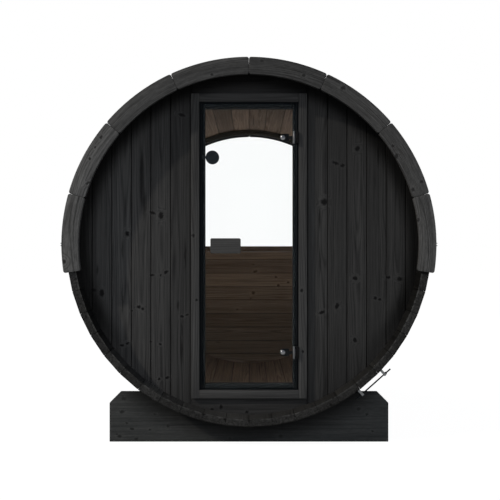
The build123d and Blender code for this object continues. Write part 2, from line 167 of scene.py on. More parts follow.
def photo_point(px, py, y):
    """The point at this depth that the photograph shows at this pixel."""
    scale = METRES_PER_PIXEL * (CAMERA_DISTANCE + y - FRONT_Y) / CAMERA_DISTANCE
    half = PHOTO_WIDTH / 2
    return (CAMERA_X + (px - half) * scale, y, AXIS - CAMERA_BELOW_AXIS + (half - py) * scale)


def make_camera():
    place = (CAMERA_X, FRONT_Y - CAMERA_DISTANCE, AXIS - CAMERA_BELOW_AXIS)
    bpy.ops.object.camera_add(location=place, rotation=(pi / 2, 0, 0))
    camera = bpy.context.object
    camera.name = "camera"
    camera.data.sensor_width = SENSOR
    camera.data.lens = CAMERA_DISTANCE * SENSOR / (METRES_PER_PIXEL * PHOTO_WIDTH)
    bpy.context.scene.camera = camera


# Light and sky

def make_light():
    """A weak warm sun from the left, a wide cool soft light in front, two behind, and an even pale sky."""
    bpy.ops.object.light_add(type="SUN", location=SUN_PLACE)
    sun = bpy.context.object
    sun.name = "sun"
    sun.rotation_euler = Vector(SUN_WAY).to_track_quat("-Z", "Y").to_euler()
    sun.data.energy = SUN_POWER
    sun.data.angle = SUN_SPREAD
    sun.data.color = SUN_COLOUR
    for name, (place, size, power) in SOFT_LIGHTS.items():
        soft_light(name, place, size, power)
    make_sky()


def soft_light(name, place, size, power):
    """A wide cool light that faces the middle of the barrel."""
    bpy.ops.object.light_add(type="AREA", location=place)
    light = bpy.context.object
    light.name = name
    light.rotation_euler = (Vector((0, 0, AXIS)) - Vector(place)).to_track_quat("-Z", "Y").to_euler()
    light.data.shape = "RECTANGLE"
    light.data.size, light.data.size_y = size
    light.data.energy = power
    light.data.color = SOFT_COLOUR
    light.visible_glossy = False
    light.visible_transmission = False
    light.visible_camera = False


def make_sky():
    """An even sky, which the camera sees as plain white, also through the windows."""
    world = bpy.context.scene.world or bpy.data.worlds.new("sky")
    bpy.context.scene.world = world
    world.use_nodes = True
    world.node_tree.nodes.clear()
    sky = add(world, "Background", linear("#E6EEFF"), SKY_POWER)
    white = add(world, "Background", WHITE, 1.0)
    add(world, "OutputWorld", add(world, "MixShader", seen_by_camera(world), sky, white))


# Materials

def material(name):
    made = bpy.data.materials.new(name)
    made.use_nodes = True
    made.node_tree.nodes.clear()
    return made


def add(mat, kind, *values, inputs=None, **settings):
    """Add one node to a material or a world, with its settings and its links.

    values go to its inputs in their order, and inputs to those with these names or numbers. A node among
    them stands for its first output."""
    node = mat.node_tree.nodes.new("ShaderNode" + kind)
    for key, value in settings.items():
        setattr(node, key, value)
    for key, value in [*enumerate(values), *(inputs or {}).items()]:
        if isinstance(value, bpy.types.Node):
            value = value.outputs[0]
        if isinstance(value, bpy.types.NodeSocket):
            mat.node_tree.links.new(value, node.inputs[key])
        else:
            node.inputs[key].default_value = value
    return node


# A range that eases in and out, and a mix of two colours
SMOOTH = {"interpolation_type": "SMOOTHSTEP"}
COLOURS = {"data_type": "RGBA"}


def seen_by_camera(mat):
    """1 where the camera looks straight or through glass at this place, 0 for all other light."""
    paths = add(mat, "LightPath").outputs
    return add(mat, "Math", paths["Is Camera Ray"], paths["Is Transmission Ray"], operation="MAXIMUM")


def place_in_frame(mat):
    """Where a point lies in the shared frame, in metres."""
    return add(mat, "TexCoord").outputs["Object"]


def from_centre(mat, x, up):
    """The distance from a centre that lies x and up away."""
    squares = add(mat, "Math", x, x, add(mat, "Math", up, up, operation="MULTIPLY"), operation="MULTIPLY_ADD")
    return add(mat, "Math", squares, operation="SQRT")


def from_axis(mat, xyz):
    """The distance from the barrel's axis."""
    return from_centre(mat, xyz[0], add(mat, "Math", xyz[2], AXIS, operation="SUBTRACT"))


def boards_of(mat, value, pitch):
    """The number of the board at this place, and the distance from that board's middle."""
    number = add(mat, "Math", add(mat, "Math", value, pitch, operation="DIVIDE"), operation="FLOOR")
    middle = add(mat, "Math", add(mat, "Math", number, 0.5, operation="ADD"), pitch, operation="MULTIPLY")
    return number, add(mat, "Math", value, middle, operation="SUBTRACT")


def place_on_board(mat, grain):
    """Where a point lies on its board: along, across and through it, in metres, and the board's number.

    Round the barrel the angle stands for a length, which is nearly true at a radius of a metre."""
    x, y, z = add(mat, "SeparateXYZ", place_in_frame(mat)).outputs
    up = add(mat, "Math", z, AXIS, operation="SUBTRACT")
    depth = add(mat, "Math", y, operation="ABSOLUTE")
    end = add(mat, "Math", y, operation="SIGN")
    in_wall = add(mat, "Math", depth, -WALL_FRONT_Y, operation="SUBTRACT")
    if grain == "upright":
        number, across = boards_of(mat, x, BOARD_PITCH)
        return up, across, in_wall, number
    if grain == "level":
        number, across = boards_of(mat, up, BOARD_PITCH)
        return x, across, in_wall, number
    if grain == "plank":
        number, across = boards_of(mat, add(mat, "Math", up, PLANK_PITCH / 2, operation="ADD"), PLANK_PITCH)
        return x, across, in_wall, add(mat, "Math", end, PLANKS_TO_REAR, number, operation="MULTIPLY_ADD")
    angle = add(mat, "Math", x, up, operation="ARCTAN2")
    reach = from_centre(mat, x, up)
    if grain == "round":
        number = boards_of(mat, angle, TRIM_ANGLE)[0]
        across = add(mat, "Math", reach, TRIM_OUTER - TRIM_WIDTH / 2, operation="SUBTRACT")
        in_trim = add(mat, "Math", depth, -FRONT_Y, operation="SUBTRACT")
        return angle, across, in_trim, add(mat, "Math", end, TRIM_TO_REAR, number, operation="MULTIPLY_ADD")
    number, across = boards_of(mat, angle, 2 * pi / STAVES)
    return y, across, add(mat, "Math", reach, SHELL_INNER, operation="SUBTRACT"), number


def in_features(mat, board, size):
    """A place on the board, counted in features of this length and width in mm."""
    along, across, through, shift = board
    per_length, per_width = MM / size[0], MM / size[1]
    vector = add(mat, "CombineXYZ", add(mat, "Math", along, per_length, operation="MULTIPLY"),
                 add(mat, "Math", across, per_width, operation="MULTIPLY"),
                 add(mat, "Math", through, per_width, operation="MULTIPLY"))
    return add(mat, "VectorMath", vector, shift, operation="ADD")


def figure(mat, board, size, detail=PLAIN_DETAIL, rough=PLAIN_ROUGH):
    """Uneven streaks along the grain of a board, each about this long and wide in mm."""
    inputs = {"Vector": in_features(mat, board, size), "Scale": 1.0, "Detail": detail, "Roughness": rough}
    return add(mat, "TexNoise", inputs=inputs)


def scattered_knots(mat, board, share):
    """Knots about 20 mm wide in this share of the patches: the bent grain near them, and their dark core."""
    cells = add(mat, "TexVoronoi", inputs={
        "Vector": in_features(mat, board, KNOT_PATCH), "Randomness": 0.9, "Scale": 1.0,
    }, voronoi_dimensions="2D").outputs
    there = add(mat, "Math", add(mat, "SeparateColor", cells["Color"]), share, operation="LESS_THAN")
    near_end, near_start, core_end, core_start = 0.24, 0.03, 0.07, 0.025
    near = add(mat, "MapRange", cells["Distance"], near_end, near_start, **SMOOTH)
    core = add(mat, "MapRange", cells["Distance"], core_end, core_start, **SMOOTH)
    return (add(mat, "Math", there, near, operation="MULTIPLY"),
            add(mat, "Math", there, core, operation="MULTIPLY"))


def known_knots(mat, marks, near, core):
    """Add the knots at known places, whose outlines are frayed by a fine noise."""
    if not marks:
        return near, core
    fray_width, near_end, near_start, core_end, core_start = 0.018, 2.6, 0.6, 1.3, 0.55
    here = place_in_frame(mat)
    fray = add(mat, "TexNoise", inputs={"Vector": here, "Scale": MM / FRAYED, "Detail": 3.0}).outputs["Color"]
    fray = add(mat, "VectorMath", fray, [fray_width] * 3, [-fray_width / 2] * 3, operation="MULTIPLY_ADD")
    frayed = add(mat, "VectorMath", here, fray, operation="ADD")
    for place, half_length, half_width, lean in marks:
        local = add(mat, "Mapping", frayed, place, (0, lean, 0), (half_length, 1, half_width),
                    vector_type="TEXTURE")
        flat = add(mat, "VectorMath", local, (1, 0, 1), operation="MULTIPLY")
        off = add(mat, "VectorMath", flat, operation="LENGTH").outputs["Value"]
        near_this = add(mat, "MapRange", off, near_end, near_start, **SMOOTH)
        core_this = add(mat, "MapRange", off, core_end, core_start, **SMOOTH)
        near = add(mat, "Math", near, near_this, operation="MAXIMUM")
        core = add(mat, "Math", core, core_this, operation="MAXIMUM")
    return near, core


def growth_rings(mat, board, picks, near):
    """Rings round a pith behind the board's face, which waver along it and bend round the knots."""
    pith_spread, pith_reach, pith_least = 0.16, 0.10, 0.03
    waver_share, bend, sharpness = 0.05, 0.012, 2.2
    pith_across = add(mat, "Math", picks[0], pith_spread, -pith_spread / 2, operation="MULTIPLY_ADD")
    pith_depth = add(mat, "Math", picks[1], pith_reach, pith_least, operation="MULTIPLY_ADD")
    ring = from_centre(mat, add(mat, "Math", board[1], pith_across, operation="SUBTRACT"),
                       add(mat, "Math", board[2], pith_depth, operation="ADD"))
    ring = add(mat, "Math", figure(mat, board, WAVER), waver_share, ring, operation="MULTIPLY_ADD")
    ring = add(mat, "Math", near, bend, ring, operation="MULTIPLY_ADD")
    turns = add(mat, "Math", ring, 2 * pi / RING_SPACING, operation="MULTIPLY")
    share = add(mat, "Math", add(mat, "Math", turns, operation="SINE"), 0.5, 0.5, operation="MULTIPLY_ADD")
    return add(mat, "Math", share, sharpness, operation="POWER")


def early_wood_share(mat, streak, rings, fibre, near):
    """How far the pale early wood shows, from 0 in the late wood to 1."""
    least, streak_share, ring_share, fibre_share, knot_share = -0.40, 1.1, -0.30, 0.9, 0.3
    wood = add(mat, "Math", streak, streak_share, least, operation="MULTIPLY_ADD")
    wood = add(mat, "Math", rings, ring_share, wood, operation="MULTIPLY_ADD")
    wood = add(mat, "Math", fibre, fibre_share, wood, operation="MULTIPLY_ADD")
    by_knots = add(mat, "Math", near, fibre, operation="MULTIPLY")
    return add(mat, "Math", by_knots, knot_share, wood, operation="MULTIPLY_ADD", use_clamp=True)


def board_shade(mat, board, pick, tone, sawn, joints):
    """How light the wood is: a tone for each board, saw marks, streaks of resin and dark joints."""
    shade = add(mat, "MapRange", pick, 0.0, 1.0, 1 - tone, 1 + tone)
    if sawn:
        marks_low, marks_high = 0.3, 0.7
        marks = figure(mat, board, SAW_MARK, SAW_DETAIL, SAW_ROUGH)
        coarse = add(mat, "MapRange", marks, marks_low, marks_high, 1 - sawn, 1 + sawn)
        shade = add(mat, "Math", shade, coarse, operation="MULTIPLY")
    resin_low, resin_high, resin_dark = 0.64, 0.74, 0.45
    resin = add(mat, "MapRange", figure(mat, board, RESIN), resin_low, resin_high, **SMOOTH)
    clear = add(mat, "Math", resin, -resin_dark, 1.0, operation="MULTIPLY_ADD")
    shade = add(mat, "Math", shade, clear, operation="MULTIPLY")
    if joints:
        joint_half, joint_end, joint_shade = 0.0008, 0.0035, 0.25
        off_middle = add(mat, "Math", board[1], operation="ABSOLUTE")
        edge = add(mat, "Math", joints / 2, off_middle, operation="SUBTRACT")
        joint = add(mat, "MapRange", edge, joint_half, joint_end, joint_shade, 1.0, **SMOOTH)
        shade = add(mat, "Math", shade, joint, operation="MULTIPLY")
    return shade


def stained(mat, wood, shade, core, colours):
    """The wood's colour out of its late wood, its early wood and its knots."""
    late, early, knot = (linear(colour) for colour in colours)
    knot_cover = 0.95
    plain = add(mat, "Mix", wood, inputs={6: late, 7: early}, **COLOURS).outputs[2]
    toned = add(mat, "VectorMath", plain, inputs={"Scale": shade}, operation="SCALE")
    cover = add(mat, "Math", core, knot_cover, operation="MULTIPLY")
    return add(mat, "Mix", cover, inputs={6: toned, 7: knot}, **COLOURS).outputs[2]


def timber(name, grain, colours, tone=0.16, knots=0.4, marks=(), room=None, tone_and_painted_light=None, roughness=0.62,
           joints=0.0, sawn=0.0):
    """Planed softwood under a thin stain, with growth rings, fibres, resin, knots and a tone for each board.

    colours are those of the late wood, the early wood and the knots. knots is the share of patches with a
    scattered knot, and marks are knots at known places. room gives the colours of the side towards the room
    and a function for where that side is. tone_and_painted_light is a function that lightens or darkens the
    wood from place to place, with real streaks and chips and with painted light and shade. joints is the
    width of a board whose joints with its neighbours are to be darkened, and sawn is the strength of a coarse
    sawn grain."""
    mat = material(name)
    *board, number = place_on_board(mat, grain)
    chance = add(mat, "TexWhiteNoise", inputs={"W": number}, noise_dimensions="1D").outputs["Color"]
    board.append(add(mat, "VectorMath", chance, inputs={"Scale": BOARDS_APART}, operation="SCALE"))
    picks = add(mat, "SeparateColor", chance).outputs
    near, core = known_knots(mat, marks, *scattered_knots(mat, board, knots))
    rings = growth_rings(mat, board, picks, near)
    fibre = figure(mat, board, FIBRE, FIBRE_DETAIL, FIBRE_ROUGH)
    streak = figure(mat, board, STREAK, STREAK_DETAIL, STREAK_ROUGH)
    wood = early_wood_share(mat, streak, rings, fibre, near)
    shade = board_shade(mat, board, picks[2], tone, sawn, joints)
    xyz = add(mat, "SeparateXYZ", place_in_frame(mat)).outputs
    # Painted light and shade from place to place, with the real streaks and chips
    if tone_and_painted_light:
        shade = add(mat, "Math", shade, tone_and_painted_light(mat, xyz), operation="MULTIPLY")
    colour = stained(mat, wood, shade, core, colours)
    smoothest, roughest, streak_low, streak_high = roughness - 0.06, roughness + 0.08, 0.3, 0.7
    rough = add(mat, "MapRange", streak, streak_low, streak_high, smoothest, roughest)
    if room:
        room_colours, in_room = room
        unstained_roughness = 0.28
        inside = stained(mat, wood, shade, core, room_colours)
        colour = add(mat, "Mix", in_room(mat, xyz), inputs={6: colour, 7: inside}, **COLOURS).outputs[2]
        rough = add(mat, "Math", in_room(mat, xyz), unstained_roughness, rough, operation="MULTIPLY_ADD")
    surface = add(mat, "BsdfPrincipled", inputs={
        "Base Color": colour, "Roughness": rough, "IOR": 1.3, "Specular IOR Level": 0.2,
        "Normal": raised_grain(mat, fibre, rings, core),
    })
    add(mat, "OutputMaterial", surface)
    return mat


def raised_grain(mat, fibre, rings, core):
    """Fibres stand up a little; the rings and the knots lie lower."""
    fibre_rise, ring_rise, knot_rise, strength, height = 0.8, -0.2, -0.4, 0.4, 0.0008
    sunken = add(mat, "Math", rings, ring_rise, operation="MULTIPLY")
    relief = add(mat, "Math", fibre, fibre_rise, sunken, operation="MULTIPLY_ADD")
    relief = add(mat, "Math", core, knot_rise, relief, operation="MULTIPLY_ADD")
    return add(mat, "Bump", inputs={"Strength": strength, "Distance": height, "Height": relief})


# Where the inside of the barrel is, and the painted light and shade on each part, with its real streaks and
# chips

def between_the_walls(mat, xyz):
    """The part of the barrel's inside that lies between its two end walls."""
    into_stave, into_wall = 0.006, 0.001
    inside = add(mat, "Math", from_axis(mat, xyz), SHELL_INNER + into_stave, operation="LESS_THAN")
    depth = add(mat, "Math", xyz[1], operation="ABSOLUTE")
    room = add(mat, "Math", depth, -WALL_BACK_Y + into_wall, operation="LESS_THAN")
    return add(mat, "Math", inside, room, operation="MULTIPLY")


def towards_the_room(mat, xyz):
    """The inner half of an end wall."""
    middle = (abs(WALL_FRONT_Y) + abs(WALL_BACK_Y)) / 2
    depth = add(mat, "Math", xyz[1], operation="ABSOLUTE")
    return add(mat, "Math", depth, middle, operation="LESS_THAN")


def stave_end_grain_and_painted_light(mat, xyz):
    """The staves show speckled end grain at their ends with a painted highlight on the inner edge, and
    painted shade in the recess and at the lower right.
    """
    before_end, into_stave, before_wall = 0.0005, 0.004, 0.002
    depth = add(mat, "Math", xyz[1], operation="ABSOLUTE")
    end = add(mat, "Math", depth, -STAVE_FRONT_Y - before_end, operation="GREATER_THAN")
    reach = from_axis(mat, xyz)
    inside = add(mat, "Math", reach, SHELL_INNER + into_stave, operation="LESS_THAN")
    recess = add(mat, "Math", depth, -WALL_FRONT_Y - before_wall, operation="GREATER_THAN")
    in_recess = add(mat, "Math", inside, recess, operation="MULTIPLY")
    # Painted shade on the inside of the staves in the recess
    darker = add(mat, "Math", painted_shade_in_recess(mat, xyz), 1.0, operation="SUBTRACT")
    side = add(mat, "Math", in_recess, darker, 1.0, operation="MULTIPLY_ADD")
    lit = chipped(mat, xyz, end_grain(mat, xyz, reach))
    mixed = add(mat, "Mix", end, inputs={2: side, 3: lit}, data_type="FLOAT")
    return add(mat, "Math", mixed, painted_shade_low_right(mat, xyz, share=0.25), operation="MULTIPLY")


def end_grain(mat, xyz, reach):
    """Speckled end grain, with a painted highlight in patches along the inner edge, stronger on the right,
    and painted shade near the outer edge.
    """
    here = place_in_frame(mat)
    speckle = add(mat, "TexNoise", inputs={"Vector": here, "Scale": MM / END_GRAIN, "Detail": 2.0})
    highlight_patches = add(mat, "TexNoise", inputs={"Vector": here, "Scale": MM / LIT_EDGE_PATCH, "Detail": 2.0})
    lit_edge_to, lit_edge_from, highlight_share = SHELL_INNER + 0.011, SHELL_INNER + 0.005, 0.45
    patch_low, patch_high = 0.42, 0.6
    middle, right_side, right_factor = 0.1, 0.7, 1.3
    speckle_low, speckle_high, dark_grain, pale_grain = 0.35, 0.65, 0.24, 0.68
    shaded_from, shaded_to, under_trim = SHELL_INNER + 0.040, SHELL_INNER + 0.036, 0.45
    # Painted highlight along the inner edge, in patches
    edge = add(mat, "Math", add(mat, "MapRange", reach, lit_edge_to, lit_edge_from, **SMOOTH),
               add(mat, "MapRange", highlight_patches, patch_low, patch_high, **SMOOTH), operation="MULTIPLY")
    to_right = add(mat, "MapRange", xyz[0], middle, right_side, 1.0, right_factor, **SMOOTH)
    edge = add(mat, "Math", edge, to_right, operation="MULTIPLY")
    grain = add(mat, "MapRange", speckle, speckle_low, speckle_high, dark_grain, pale_grain, **SMOOTH)
    lit = add(mat, "Math", edge, highlight_share, grain, operation="MULTIPLY_ADD")
    shaded = add(mat, "MapRange", reach, shaded_from, shaded_to, under_trim, 1.0, **SMOOTH)
    return add(mat, "Math", lit, shaded, operation="MULTIPLY")


def painted_shade_in_recess(mat, xyz):
    """Painted shade on the staves before the wall: darkest above, lighter below, and lighter still on the
    left.
    """
    recess_low_height, shade_ramp_height, recess_low_shade, recess_high_shade = AXIS - 0.80, AXIS - 0.35, 0.52, 0.16
    left_side, right_side, left_factor = -0.25, 0.25, 1.8
    recess_shade = add(mat, "MapRange", xyz[2], recess_low_height, shade_ramp_height, recess_low_shade, recess_high_shade, **SMOOTH)
    to_left = add(mat, "MapRange", xyz[0], left_side, right_side, left_factor, 1.0, **SMOOTH)
    return add(mat, "Math", recess_shade, to_left, operation="MULTIPLY")


def chipped(mat, xyz, lit):
    """Darken the knots and chips on the ends of the staves."""
    whole_from, whole_to, chip_shade = 0.5, 1.2, 0.3
    for px, py, radius in STAVE_END_KNOTS:
        place = photo_point(px, py, STAVE_FRONT_Y)
        off = off_mark(mat, xyz[0], xyz[2], place, radius, radius)
        chip = add(mat, "MapRange", off, whole_from, whole_to, chip_shade, 1.0, **SMOOTH)
        lit = add(mat, "Math", lit, chip, operation="MULTIPLY")
    return lit


def off_mark(mat, x, z, place, half_width, half_height):
    """How far a point is from the middle of a mark: 1 on its outline, whose half sizes are in mm."""
    off_x = add(mat, "Math", x, place[0], operation="SUBTRACT")
    off_z = add(mat, "Math", z, place[2], operation="SUBTRACT")
    return from_centre(mat, add(mat, "Math", off_x, half_width / MM, operation="DIVIDE"),
                       add(mat, "Math", off_z, half_height / MM, operation="DIVIDE"))


def painted_shade_low_right(mat, xyz, share):
    """Painted shade darkens the wood at the lower right by this share."""
    middle, right_side, brighter_height, low_shade_height = 0.15, 0.5, AXIS - 0.30, AXIS - 0.75
    right = add(mat, "MapRange", xyz[0], middle, right_side, **SMOOTH)
    low = add(mat, "MapRange", xyz[2], brighter_height, low_shade_height, **SMOOTH)
    both = add(mat, "Math", right, low, operation="MULTIPLY")
    return add(mat, "Math", both, -share, 1.0, operation="MULTIPLY_ADD")


def painted_light_on_the_sides(mat, xyz):
    """Painted light on the trim: lightest at the sides of the ring and more on the left than on the right;
    the top stays darkest.
    """
    top_shade, side_share, right_share = 0.74, 0.55, -0.16
    aside = add(mat, "Math", xyz[0], xyz[0], operation="MULTIPLY")
    sides = add(mat, "Math", aside, side_share, top_shade, operation="MULTIPLY_ADD")
    to_left = add(mat, "Math", xyz[0], right_share, 1.0, operation="MULTIPLY_ADD")
    return add(mat, "Math", sides, to_left, operation="MULTIPLY")


def painted_shade_by_the_ring(mat, xyz):
    """Painted shade darkens the wall close under the ring, except at the bottom."""
    unshaded_radius, ring_shade_radius = WALL_RADIUS - 0.12, WALL_RADIUS - 0.03
    shade_ramp_height, ring_shade_height, ring_shade_share = AXIS - 0.72, AXIS - 0.35, 0.8
    close = add(mat, "MapRange", from_axis(mat, xyz), unshaded_radius, ring_shade_radius, **SMOOTH)
    upper = add(mat, "MapRange", xyz[2], shade_ramp_height, ring_shade_height, **SMOOTH)
    both = add(mat, "Math", close, upper, operation="MULTIPLY")
    return add(mat, "Math", both, -ring_shade_share, 1.0, operation="MULTIPLY_ADD")


def painted_shade_below(mat, xyz):
    """Painted shade darkens the rear wall below, and painted light lightens it above."""
    darker_height, brighter_height, darker_shade, brighter_shade = AXIS - 0.62, AXIS - 0.25, 0.76, 1.28
    return add(mat, "MapRange", xyz[2], darker_height, brighter_height, darker_shade, brighter_shade, **SMOOTH)


def painted_light_low_left(mat, xyz):
    """Painted light lightens the boards on the left, below the shadow of the ring; painted shade darkens them
    at the top, close under the ring and at the lower right.
    """
    whole, lighter_side, left_shade = -0.35, -0.75, 1.62
    lit_height, shaded_height, top_shade = AXIS + 0.15, AXIS + 0.75, 0.72
    left = add(mat, "MapRange", xyz[0], whole, lighter_side, 1.0, left_shade, **SMOOTH)
    high = add(mat, "MapRange", xyz[2], lit_height, shaded_height, 1.0, top_shade, **SMOOTH)
    light_share = add(mat, "Math", left, high, operation="MULTIPLY")
    light_share = add(mat, "Math", light_share, painted_shade_by_the_ring(mat, xyz), operation="MULTIPLY")
    return add(mat, "Math", light_share, painted_shade_low_right(mat, xyz, share=0.15), operation="MULTIPLY")


def streaks_and_painted_light(mat, xyz):
    """The painted light and shade of the upright boards, with the dark streaks along them."""
    waver_reach, streak_end, streak_start, streak_dark = 0.012, 1.3, 0.2, 0.6
    vector = add(mat, "CombineXYZ", inputs={0: xyz[0], 2: xyz[2]})
    waver = add(mat, "TexNoise", inputs={"Vector": vector, "Scale": MM / STREAK_WAVER, "Detail": 2.0})
    sideways = add(mat, "Math", waver, 0.5, operation="SUBTRACT")
    x = add(mat, "Math", sideways, waver_reach, xyz[0], operation="MULTIPLY_ADD")
    dark = 0.0
    for px, py, half_width, half_length in WALL_STREAKS:
        off = off_mark(mat, x, xyz[2], photo_point(px, py, WALL_FRONT_Y), half_width, half_length)
        this = add(mat, "MapRange", off, streak_end, streak_start, **SMOOTH)
        dark = add(mat, "Math", dark, this, operation="MAXIMUM")
    streak = add(mat, "Math", dark, -streak_dark, 1.0, operation="MULTIPLY_ADD")
    return add(mat, "Math", streak, painted_light_low_left(mat, xyz), operation="MULTIPLY")


def painted_shade_under_the_barrel(mat, xyz):
    """Painted shade darkens the cradles where they carry the barrel."""
    under_barrel_radius, clear_radius, under_barrel_shade = SHELL_INNER + 0.05, SHELL_INNER + 0.24, 0.18
    return add(mat, "MapRange", from_axis(mat, xyz), under_barrel_radius, clear_radius, under_barrel_shade, 1.0, **SMOOTH)


def painted_shade_above(mat, xyz):
    """Painted shade darkens the door frame at its top, and painted light lightens it lower down."""
    low, high, low_shade, high_shade = AXIS - 0.8, AXIS + 0.85, 1.12, 0.72
    return add(mat, "MapRange", xyz[2], low, high, low_shade, high_shade, **SMOOTH)


def painted_shade_at_the_top(mat, xyz):
    """Painted shade darkens the board over the door the most, and also darkens the wall close under the ring.
    """
    top, low_shade, high_shade = AXIS + 0.8, 0.85, 0.7
    top_shading = add(mat, "MapRange", xyz[2], AXIS, top, low_shade, high_shade, **SMOOTH)
    return add(mat, "Math", top_shading, painted_shade_by_the_ring(mat, xyz), operation="MULTIPLY")


# Glass, metal and coats

def clear_glass(name, node):
    """Float glass with polished edges: almost no colour through it, dark slate blue at its edges."""
    mat = material(name)
    low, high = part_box(node)
    edge_depth = 0.0012
    x, _, z = add(mat, "SeparateXYZ", place_in_frame(mat)).outputs
    middle_z, half_z = (low.z + high.z) / 2, (high.z - low.z) / 2
    off_x = add(mat, "Math", x, operation="ABSOLUTE")
    side = add(mat, "Math", off_x, high.x - edge_depth, operation="GREATER_THAN")
    off_z = add(mat, "Math", add(mat, "Math", z, middle_z, operation="SUBTRACT"), operation="ABSOLUTE")
    above = add(mat, "Math", off_z, half_z - edge_depth, operation="GREATER_THAN")
    edge = add(mat, "Math", side, above, operation="MAXIMUM")
    tint = add(mat, "Mix", edge, inputs={6: linear("#FDFEFE"), 7: linear("#2C3A4A")}, **COLOURS).outputs[2]
    pane = add(mat, "BsdfPrincipled", inputs={
        "Base Color": tint, "Roughness": 0.0, "IOR": 1.12, "Transmission Weight": 1.0,
    })
    # The light of the lamps falls straight through the pane
    through = add(mat, "BsdfTransparent", linear("#F2F6F5"))
    shadow = add(mat, "LightPath").outputs["Is Shadow Ray"]
    add(mat, "OutputMaterial", add(mat, "MixShader", shadow, pane, through))
    return mat


def metal(name, colour, roughness, brushed_mm, along="y"):
    """Bare metal with fine brush lines or a cast skin, whose width is given in millimetres."""
    mat = material(name)
    drawn_out, low, high, smoother, rougher = 0.03, 0.3, 0.7, 0.8, 1.3
    stretch = [drawn_out if axis == along else 1 for axis in "xyz"]
    vector = add(mat, "Mapping", place_in_frame(mat), inputs={"Scale": stretch})
    lines = add(mat, "TexNoise", inputs={"Vector": vector, "Scale": MM / brushed_mm, "Detail": 2.0})
    rough = add(mat, "MapRange", lines, low, high, roughness * smoother, roughness * rougher)
    bump = add(mat, "Bump", inputs={"Strength": 0.15, "Distance": 0.0001, "Height": lines})
    surface = add(mat, "BsdfPrincipled", inputs={
        "Base Color": linear(colour), "Metallic": 1.0, "Roughness": rough, "Normal": bump,
    })
    add(mat, "OutputMaterial", surface)
    return mat


def coated(name, colour, roughness, grain_mm):
    """A coat or moulding with a fine even grain, a little lighter where it is worn."""
    mat = material(name)
    wear_low, wear_high, lighter = 0.45, 0.7, 1.6
    here = place_in_frame(mat)
    grain = add(mat, "TexNoise", inputs={"Vector": here, "Scale": MM / grain_mm, "Detail": 2.0})
    wear = add(mat, "TexNoise", inputs={"Vector": here, "Scale": MM / WEAR, "Detail": 4.0})
    bump = add(mat, "Bump", inputs={"Strength": 0.3, "Distance": 0.0001, "Height": grain})
    worn = [c * lighter for c in linear(colour)[:3]] + [1]
    worn_share = add(mat, "MapRange", wear, wear_low, wear_high, **SMOOTH)
    tint = add(mat, "Mix", worn_share, inputs={6: linear(colour), 7: worn}, **COLOURS).outputs[2]
    surface = add(mat, "BsdfPrincipled", inputs={
        "Base Color": tint, "Roughness": roughness, "IOR": 1.5, "Specular IOR Level": 0.15, "Normal": bump,
    })
    add(mat, "OutputMaterial", surface)
    return mat


def pale_ground():
    """Pale ground that the camera sees as white, with the shadow of the object faint on it."""
    mat = material("pale_ground")
    seen = seen_by_camera(mat)
    grit = add(mat, "TexNoise", inputs={"Vector": place_in_frame(mat), "Scale": MM / GRIT})
    pale = add(mat, "Mix", grit, inputs={6: linear("#A6A6A4"), 7: linear("#AEAEAC")}, **COLOURS).outputs[2]
    colour = add(mat, "Mix", seen, inputs={6: pale, 7: linear("#F4F4F4")}, **COLOURS).outputs[2]
    white = add(mat, "Emission", WHITE, GROUND_GLOW)
    share = add(mat, "Math", seen, GROUND_GLOW_SHARE, operation="MULTIPLY")
    add(mat, "OutputMaterial", add(mat, "MixShader", share, add(mat, "BsdfDiffuse", colour), white))
    return mat


# Marks of the wood, as they lie in the photograph

# Knots of the front wall: pixel, half length and half width in mm, lean in degrees
WALL_KNOTS = [
    (161.2, 215.6, 14, 23, 0), (152.5, 212.8, 20, 9, 20), (127.2, 233.8, 13, 17, 0),
    (101.9, 293.0, 14, 23, 0), (94.0, 290.0, 17, 9, 15), (166.2, 272.2, 15, 9, -25),
    (152.2, 275.2, 15, 6, 0), (160.5, 275.2, 5, 9, 0), (138.8, 306.9, 11, 11, 0), (142.8, 308.9, 9, 9, 0),
    (132.0, 310.8, 8, 5, 0), (181.7, 115.0, 22, 9, 15), (182.0, 316.5, 13, 8, 0),
    (187.0, 314.8, 13, 6, -20), (122.0, 345.5, 13, 7, 0), (127.8, 343.3, 12, 8, -15),
    (357.7, 148.5, 14, 18, 25), (335.5, 163.0, 22, 9, 20), (342.5, 165.5, 12, 10, -20),
    (324.0, 202.0, 20, 20, -35), (355.0, 278.3, 15, 13, 20), (388.5, 277.5, 14, 9, 0),
    (399.5, 279.0, 16, 14, 0), (375.2, 298.0, 11, 9, 20), (379.8, 299.4, 10, 8, 10),
    (150.8, 341.7, 6, 6, 0), (160.0, 344.2, 8, 7, 0), (159.0, 379.0, 9, 7, 0), (167.2, 377.5, 12, 9, -30),
    (337.0, 306.0, 12, 20, 20), (321.7, 312.5, 20, 9, -20), (355.0, 340.0, 11, 15, -20),
    (212.0, 409.3, 11, 8, 0), (221.0, 407.0, 10, 15, 0), (247.0, 412.0, 9, 9, 0), (256.7, 416.5, 8, 8, 0),
    (293.0, 414.0, 14, 7, 0),
]
